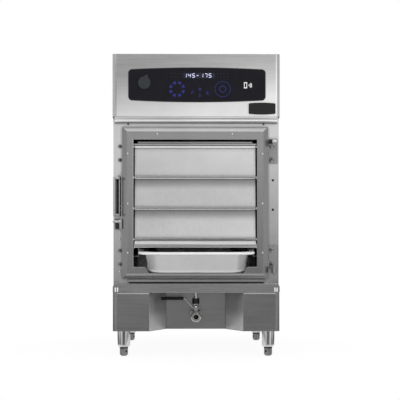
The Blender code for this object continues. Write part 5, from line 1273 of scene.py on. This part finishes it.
class CABINET_OT_symbols(bpy.types.Operator):
    """Blue touch symbols and the white charging symbol on the panel"""

    bl_idname = "cabinet.symbols"
    bl_label = "Panel symbols"

    def execute(self, context):
        radius = context.scene.cabinet_sizes.ring_radius
        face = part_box("control_panel")[0].y
        ink, corner = 0.00015, 0.0008
        blue = []
        wheel = (-0.0546, face, 0.7607)
        half = math.radians(13.0)
        for step in range(8):
            angle = math.radians(22.5 + 45 * step)
            blue.append(sector(radius * 0.66, radius, angle - half, angle + half, ink, wheel, steps=6))
        target = (0.0750, face, 0.7607)
        blue.append(ring(radius * 0.93, radius, 0, ink, target, steps=48))
        blue.append(ring(radius * 0.33, radius * 0.43, 0, ink, target, steps=32))

        top = (0.0102, face, 0.7598)
        blue.append(sector(0.0012, 0.0048, math.radians(20), math.radians(160), ink, top))
        blue.append(plate((top[0] - 0.0046, face - ink, top[2] - 0.0034),
                          (top[0] + 0.0046, face, top[2] - 0.0012), corner, 0))
        left = (-0.0105, face, 0.7504)
        blue.append(spun([(0, ink), (0.0022, ink), (0.0022, 0), (0, 0)], (left[0], face, left[2] + 0.0042),
                         steps=16))
        for start, end in ((232, 250), (290, 308)):
            blue.append(sector(0.0, 0.0086, math.radians(start), math.radians(end), ink,
                               (left[0], face, left[2] + 0.0048), steps=4))
        low = (0.0102, face, 0.7436)
        blue.append(plate((low[0] - 0.0010, face - ink, low[2] - 0.0010),
                          (low[0] + 0.0010, face, low[2] + 0.0056), corner, 0))
        blue.append(spun([(0, ink), (0.0026, ink), (0.0026, 0), (0, 0)], (low[0], face, low[2] - 0.0028),
                         steps=16))
        right = (0.0315, face, 0.7504)
        blue.append(sector(0.0, 0.0100, math.radians(205), math.radians(235), ink,
                           (right[0] + 0.0046, face, right[2] + 0.0048), steps=4))
        blue.append(plate((right[0] - 0.0020, face - ink, right[2] - 0.0048),
                          (right[0] + 0.0050, face, right[2] - 0.0026), corner, 0))
        make_piece("panel_touch_symbols", blue, "cabinet", found("blue_screen_ink"))

        white = []
        phone = (0.1398, face, 0.7716)
        half_x, half_z, line = 0.0043, 0.0082, 0.0017
        for side in (-1, 1):
            edge = phone[0] + side * (half_x - line / 2)
            white.append(plate((edge - line / 2, face - ink, phone[2] - half_z),
                               (edge + line / 2, face, phone[2] + half_z), 0.0005, 0))
            edge = phone[2] + side * (half_z - line / 2)
            white.append(plate((phone[0] - half_x, face - ink * 0.8, edge - line * 0.7),
                               (phone[0] + half_x, face, edge + line * 0.7), 0.0005, 0))
        wave = (0.1470, face, 0.7716)
        for inner in (0.0012, 0.0052, 0.0090):
            white.append(sector(inner, inner + 0.0018, math.radians(-42), math.radians(42), ink, wave))
        make_piece("panel_charging_symbol", white, "cabinet", found("white_screen_ink"))
        return {"FINISHED"}


class CABINET_OT_rims(bpy.types.Operator):
    """Black rim printed round the panel, and the bright edge of the bare badge plate"""

    bl_idname = "cabinet.rims"
    bl_label = "Panel and badge rims"

    def execute(self, context):
        border = context.scene.cabinet_sizes.panel_border
        low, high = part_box("control_panel")
        bow = 0.0055
        place = ((low.x + high.x) / 2, low.y, (low.z + high.z) / 2)
        rim = bowed_rim(high.x - low.x, high.z - low.z - 2 * bow, bow, 0.010, border, 0.0002, place)
        make_piece("panel_printed_rim", [rim], "cabinet", found("black_rim_ink"))
        low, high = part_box("badge_plate")
        bow = 0.0025
        place = ((low.x + high.x) / 2, low.y, (low.z + high.z) / 2)
        rim = bowed_rim(high.x - low.x, high.z - low.z - 2 * bow, bow, 0.004, 0.0011, 0.0003, place)
        make_piece("badge_bright_edge", [rim], "cabinet", found("tumbled_stainless"))
        return {"FINISHED"}


class CABINET_OT_stage(bpy.types.Operator):
    """Floor, studio surroundings, lamps and camera"""

    bl_idname = "cabinet.stage"
    bl_label = "Stage"

    def execute(self, context):
        scene = context.scene
        shape = bmesh.new()
        bmesh.ops.create_circle(shape, cap_ends=True, radius=0.56, segments=96)
        bmesh.ops.translate(shape, vec=(0, 0, CAD_LOW[2] - 0.0002), verts=shape.verts)
        mesh = bpy.data.meshes.new("studio_floor")
        shape.to_mesh(mesh)
        shape.free()
        mesh.materials.append(pale_floor("matt_white_floor", linear("f4f4f4")))
        floor = bpy.data.objects.new("studio_floor", mesh)
        scene.collection.objects.link(floor)
        make_surroundings(scene)
        make_world(scene)
        for name, place, aim, size, power in (
                ("overhead_softbox", (0.0, -0.85, 2.75), (0.0, -0.25, 0.5), 1.3, 7.0),
                ("front_softbox", (0.0, -2.0, 2.5), (0.0, -0.3, 0.35), 1.4, 34.0),
                ("left_softbox", (-2.6, -1.9, 1.7), (0.0, 0.0, 0.45), 1.2, 5.0),
                ("right_softbox", (2.6, -1.7, 1.8), (0.0, 0.0, 0.45), 1.2, 5.0),
                ("rear_softbox", (0.3, 2.4, 2.2), (0.0, 0.2, 0.5), 1.6, 9.0)):
            lamp = bpy.data.lights.new(name, "AREA")
            lamp.shape = "SQUARE"
            lamp.size = size
            lamp.energy = power
            holder = bpy.data.objects.new(name, lamp)
            holder.location = place
            holder.rotation_euler = (Vector(aim) - Vector(place)).to_track_quat("-Z", "Y").to_euler()
            holder.visible_camera = False
            holder.visible_glossy = name == "overhead_softbox"
            scene.collection.objects.link(holder)
        camera = bpy.data.cameras.new("front_camera")
        camera.sensor_width = 36.0
        camera.lens = 115.9
        camera.shift_x = 0.0094
        camera.shift_y = 0.0963
        camera.clip_end = 50.0
        holder = bpy.data.objects.new("front_camera", camera)
        aside, away = 0.05, 3.66
        holder.location = (-aside, FRONT - away, 0.3368)
        holder.rotation_euler = (math.pi / 2, 0.0, -math.atan2(aside, away))
        scene.collection.objects.link(holder)
        scene.camera = holder
        scene.view_settings.view_transform = "Standard"
        return {"FINISHED"}


def ramp_of(tree, source, low, high, stops):
    """Brightness by stops of (place, level) between two ends of a scale."""
    along = add_node(tree, "ShaderNodeMapRange", values={"From Min": low, "From Max": high},
                     links={"Value": source})
    node = add_node(tree, "ShaderNodeValToRGB", links={0: along.outputs["Result"]})
    ramp = node.color_ramp
    while len(ramp.elements) < len(stops):
        ramp.elements.new(0.5)
    for element, (place, level) in zip(ramp.elements, stops):
        element.position = (place - low) / (high - low)
    # Stops may change their order as they move, so the levels are set once all of them stand
    for element, (place, level) in zip(ramp.elements, stops):
        share = level / STUDIO_STRENGTH
        element.color = (share, share, share, 1.0)
    return node.outputs["Color"]


def make_surroundings(scene):
    """The studio that the steel mirrors: a dark horizon, bright and dark bands over it, strips at the sides.

    Only reflections and soft light see it.
    """
    shape = bmesh.new()
    bmesh.ops.create_uvsphere(shape, u_segments=96, v_segments=64, radius=DOME_RADIUS)
    bmesh.ops.reverse_faces(shape, faces=shape.faces)
    mesh = bpy.data.meshes.new("studio_surroundings")
    shape.to_mesh(mesh)
    shape.free()
    mesh.shade_smooth()
    material = bpy.data.materials.new("studio_cards")
    material.use_nodes = True
    tree = material.node_tree
    tree.nodes.clear()
    place = add_node(tree, "ShaderNodeTexCoord")
    parts = add_node(tree, "ShaderNodeSeparateXYZ", links={0: place.outputs["Object"]})
    lean = add_node(tree, "ShaderNodeMath", settings={"operation": "MULTIPLY_ADD"}, values={1: -0.12},
                    links={0: parts.outputs["X"], 2: parts.outputs["Z"]})
    # (height on the dome, brightness): pale floor, dark horizon, bright band, dark band, ceiling
    front = ramp_of(tree, lean.outputs[0], -4.5, 4.5, [
        (-4.2, 0.95), (-1.6, 0.85), (-0.75, 0.60), (-0.60, 0.62), (-0.50, 0.56), (-0.42, 0.20),
        (-0.05, 0.20), (0.05, 0.50), (0.25, 0.56),
        (0.42, 0.60), (0.67, 0.86), (0.88, 1.16), (1.08, 1.20), (1.18, 0.92), (1.27, 0.60), (1.36, 0.40),
        (1.50, 0.42), (1.64, 0.86), (1.95, 1.0), (2.35, 0.94), (2.9, 0.6), (3.5, 0.40), (3.75, 0.45),
        (3.95, 0.60), (4.2, 0.64)])
    rear = ramp_of(tree, parts.outputs["Z"], -4.5, 4.5, [
        (-1.5, 0.70), (-0.75, 0.60), (-0.5, 0.10), (-0.12, 0.10), (0.05, 0.45), (0.5, 0.75), (1.0, 0.95),
        (2.0, 0.90), (3.2, 0.75), (4.3, 0.95)])
    sides = ramp_of(tree, parts.outputs["Z"], -4.5, 4.5, [
        (-1.5, 0.62), (-0.7, 0.20), (-0.31, 0.10), (-0.23, 0.85), (-0.14, 0.70), (-0.11, 0.44), (0.0, 0.48),
        (0.15, 0.72), (0.8, 0.84), (1.1, 0.60), (1.6, 0.52), (2.6, 0.6),
        (3.6, 0.9), (4.4, 1.1)])
    wide = add_node(tree, "ShaderNodeMath", settings={"operation": "ABSOLUTE"}, links={0: parts.outputs["X"]})
    turn = add_node(tree, "ShaderNodeMapRange", values={"From Min": 2.4, "From Max": 3.0},
                    links={"Value": wide.outputs[0]})
    aside = add_node(tree, "ShaderNodeMapRange", values={"From Min": -0.45, "From Max": 0.5, "To Min": 0.84,
                                                         "To Max": 1.2}, links={"Value": parts.outputs["X"]})
    above = add_node(tree, "ShaderNodeMapRange", values={"From Min": 0.95, "From Max": 1.2},
                     links={"Value": parts.outputs["Z"]})
    gain = add_node(tree, "ShaderNodeMix", values={2: 1.0},
                    links={0: above.outputs["Result"], 3: aside.outputs["Result"]})
    both = add_node(tree, "ShaderNodeMix", settings={"data_type": "RGBA"},
                    links={0: turn.outputs["Result"], 6: multiplied(tree, front, gain.outputs[0]), 7: sides})
    back = add_node(tree, "ShaderNodeMapRange", values={"From Min": 1.2, "From Max": 1.8},
                    links={"Value": parts.outputs["Y"]})
    both = add_node(tree, "ShaderNodeMix", settings={"data_type": "RGBA"},
                    links={0: back.outputs["Result"], 6: both.outputs[2], 7: rear})
    strip = ramp_of(tree, wide.outputs[0], 0.0, 4.5, [(1.8, 0.0), (2.1, 1.1), (3.1, 1.1), (3.4, 0.0)])
    under = add_node(tree, "ShaderNodeMapRange", values={"From Min": 0.1, "From Max": 0.6, "To Min": 1.0,
                                                         "To Max": 0.0}, links={"Value": parts.outputs["Z"]})
    low = add_node(tree, "ShaderNodeMapRange", values={"From Min": -0.9, "From Max": -0.6},
                   links={"Value": parts.outputs["Z"]})
    strip = multiplied(tree, strip, low.outputs["Result"])
    ahead = add_node(tree, "ShaderNodeMapRange", values={"From Min": -1.0, "From Max": -1.6},
                     links={"Value": parts.outputs["Y"]})
    strip = multiplied(tree, strip, multiplied(tree, under.outputs["Result"], ahead.outputs["Result"]))
    level = add_node(tree, "ShaderNodeMix", settings={"data_type": "RGBA", "blend_type": "ADD"},
                     values={0: 0.6}, links={6: both.outputs[2], 7: strip})
    glow = add_node(tree, "ShaderNodeEmission", values={"Strength": STUDIO_STRENGTH},
                    links={"Color": level.outputs[2]})
    add_node(tree, "ShaderNodeOutputMaterial", links={"Surface": glow.outputs[0]})
    material.cycles.emission_sampling = "NONE"
    mesh.materials.append(material)
    dome = bpy.data.objects.new("studio_surroundings", mesh)
    scene.collection.objects.link(dome)
    dome.visible_camera = False
    dome.visible_shadow = False


def make_world(scene):
    """White behind the object, to the eye and in its metal and plastic, and a softer white light."""
    world = bpy.data.worlds.new("studio")
    scene.world = world
    world.use_nodes = True
    tree = world.node_tree
    tree.nodes.clear()
    rays = add_node(tree, "ShaderNodeLightPath")
    seen = rays.outputs["Is Camera Ray"]
    for kind in ("Is Glossy Ray", "Is Transmission Ray"):
        seen = add_node(tree, "ShaderNodeMath", settings={"operation": "MAXIMUM"},
                        links={0: seen, 1: rays.outputs[kind]}).outputs[0]
    around = add_node(tree, "ShaderNodeBackground", values={"Color": (1.0, 1.0, 1.0, 1.0), "Strength": 0.75})
    white = add_node(tree, "ShaderNodeBackground", values={"Color": (1.0, 1.0, 1.0, 1.0), "Strength": 1.0})
    both = add_node(tree, "ShaderNodeMixShader", links={0: seen, 1: around.outputs[0], 2: white.outputs[0]})
    add_node(tree, "ShaderNodeOutputWorld", links={"Surface": both.outputs[0]})


class CABINET_PT_pieces(bpy.types.Panel):
    """Lists the operators and the settings"""

    bl_idname = "CABINET_PT_pieces"
    bl_label = "Holding cabinet"
    bl_space_type = "VIEW_3D"
    bl_region_type = "UI"
    bl_category = "Cabinet"

    def draw(self, context):
        layout = self.layout
        for operator in OPERATORS:
            layout.operator(operator.bl_idname)
        for group in (context.scene.cabinet_sizes, context.scene.cabinet_colours):
            box = layout.box()
            for name in group.bl_rna.properties.keys():
                if name not in ("rna_type", "name"):
                    box.prop(group, name)


OPERATORS = (
    CABINET_OT_finishes, CABINET_OT_pan, CABINET_OT_flap_knuckles, CABINET_OT_door_rivets,
    CABINET_OT_hinge_bolts, CABINET_OT_body_screws, CABINET_OT_head_folds, CABINET_OT_door_trim,
    CABINET_OT_sill_gaskets, CABINET_OT_base_trim, CABINET_OT_ledge_trim, CABINET_OT_latch, CABINET_OT_legs,
    CABINET_OT_rod_ends, CABINET_OT_display, CABINET_OT_symbols, CABINET_OT_rims, CABINET_OT_stage)
CLASSES = (CabinetColours, CabinetSizes) + OPERATORS + (CABINET_PT_pieces,)


def register():
    """Register the classes and hang the settings on the scene."""
    for item in CLASSES:
        bpy.utils.register_class(item)
    bpy.types.Scene.cabinet_colours = bpy.props.PointerProperty(type=CabinetColours)
    bpy.types.Scene.cabinet_sizes = bpy.props.PointerProperty(type=CabinetSizes)


def unregister():
    """Take the settings and the classes away again."""
    del bpy.types.Scene.cabinet_sizes
    del bpy.types.Scene.cabinet_colours
    for item in reversed(CLASSES):
        bpy.utils.unregister_class(item)


def main():
    """Make every piece in order."""
    register()
    bpy.ops.cabinet.finishes()
    bpy.ops.cabinet.pan()
    bpy.ops.cabinet.flap_knuckles()
    bpy.ops.cabinet.door_rivets()
    bpy.ops.cabinet.hinge_bolts()
    bpy.ops.cabinet.body_screws()
    bpy.ops.cabinet.head_folds()
    bpy.ops.cabinet.door_trim()
    bpy.ops.cabinet.sill_gaskets()
    bpy.ops.cabinet.base_trim()
    bpy.ops.cabinet.ledge_trim()
    bpy.ops.cabinet.latch()
    bpy.ops.cabinet.legs()
    bpy.ops.cabinet.rod_ends()
    bpy.ops.cabinet.display()
    bpy.ops.cabinet.symbols()
    bpy.ops.cabinet.rims()
    bpy.ops.cabinet.stage()


if __name__ == "__main__":
    main()
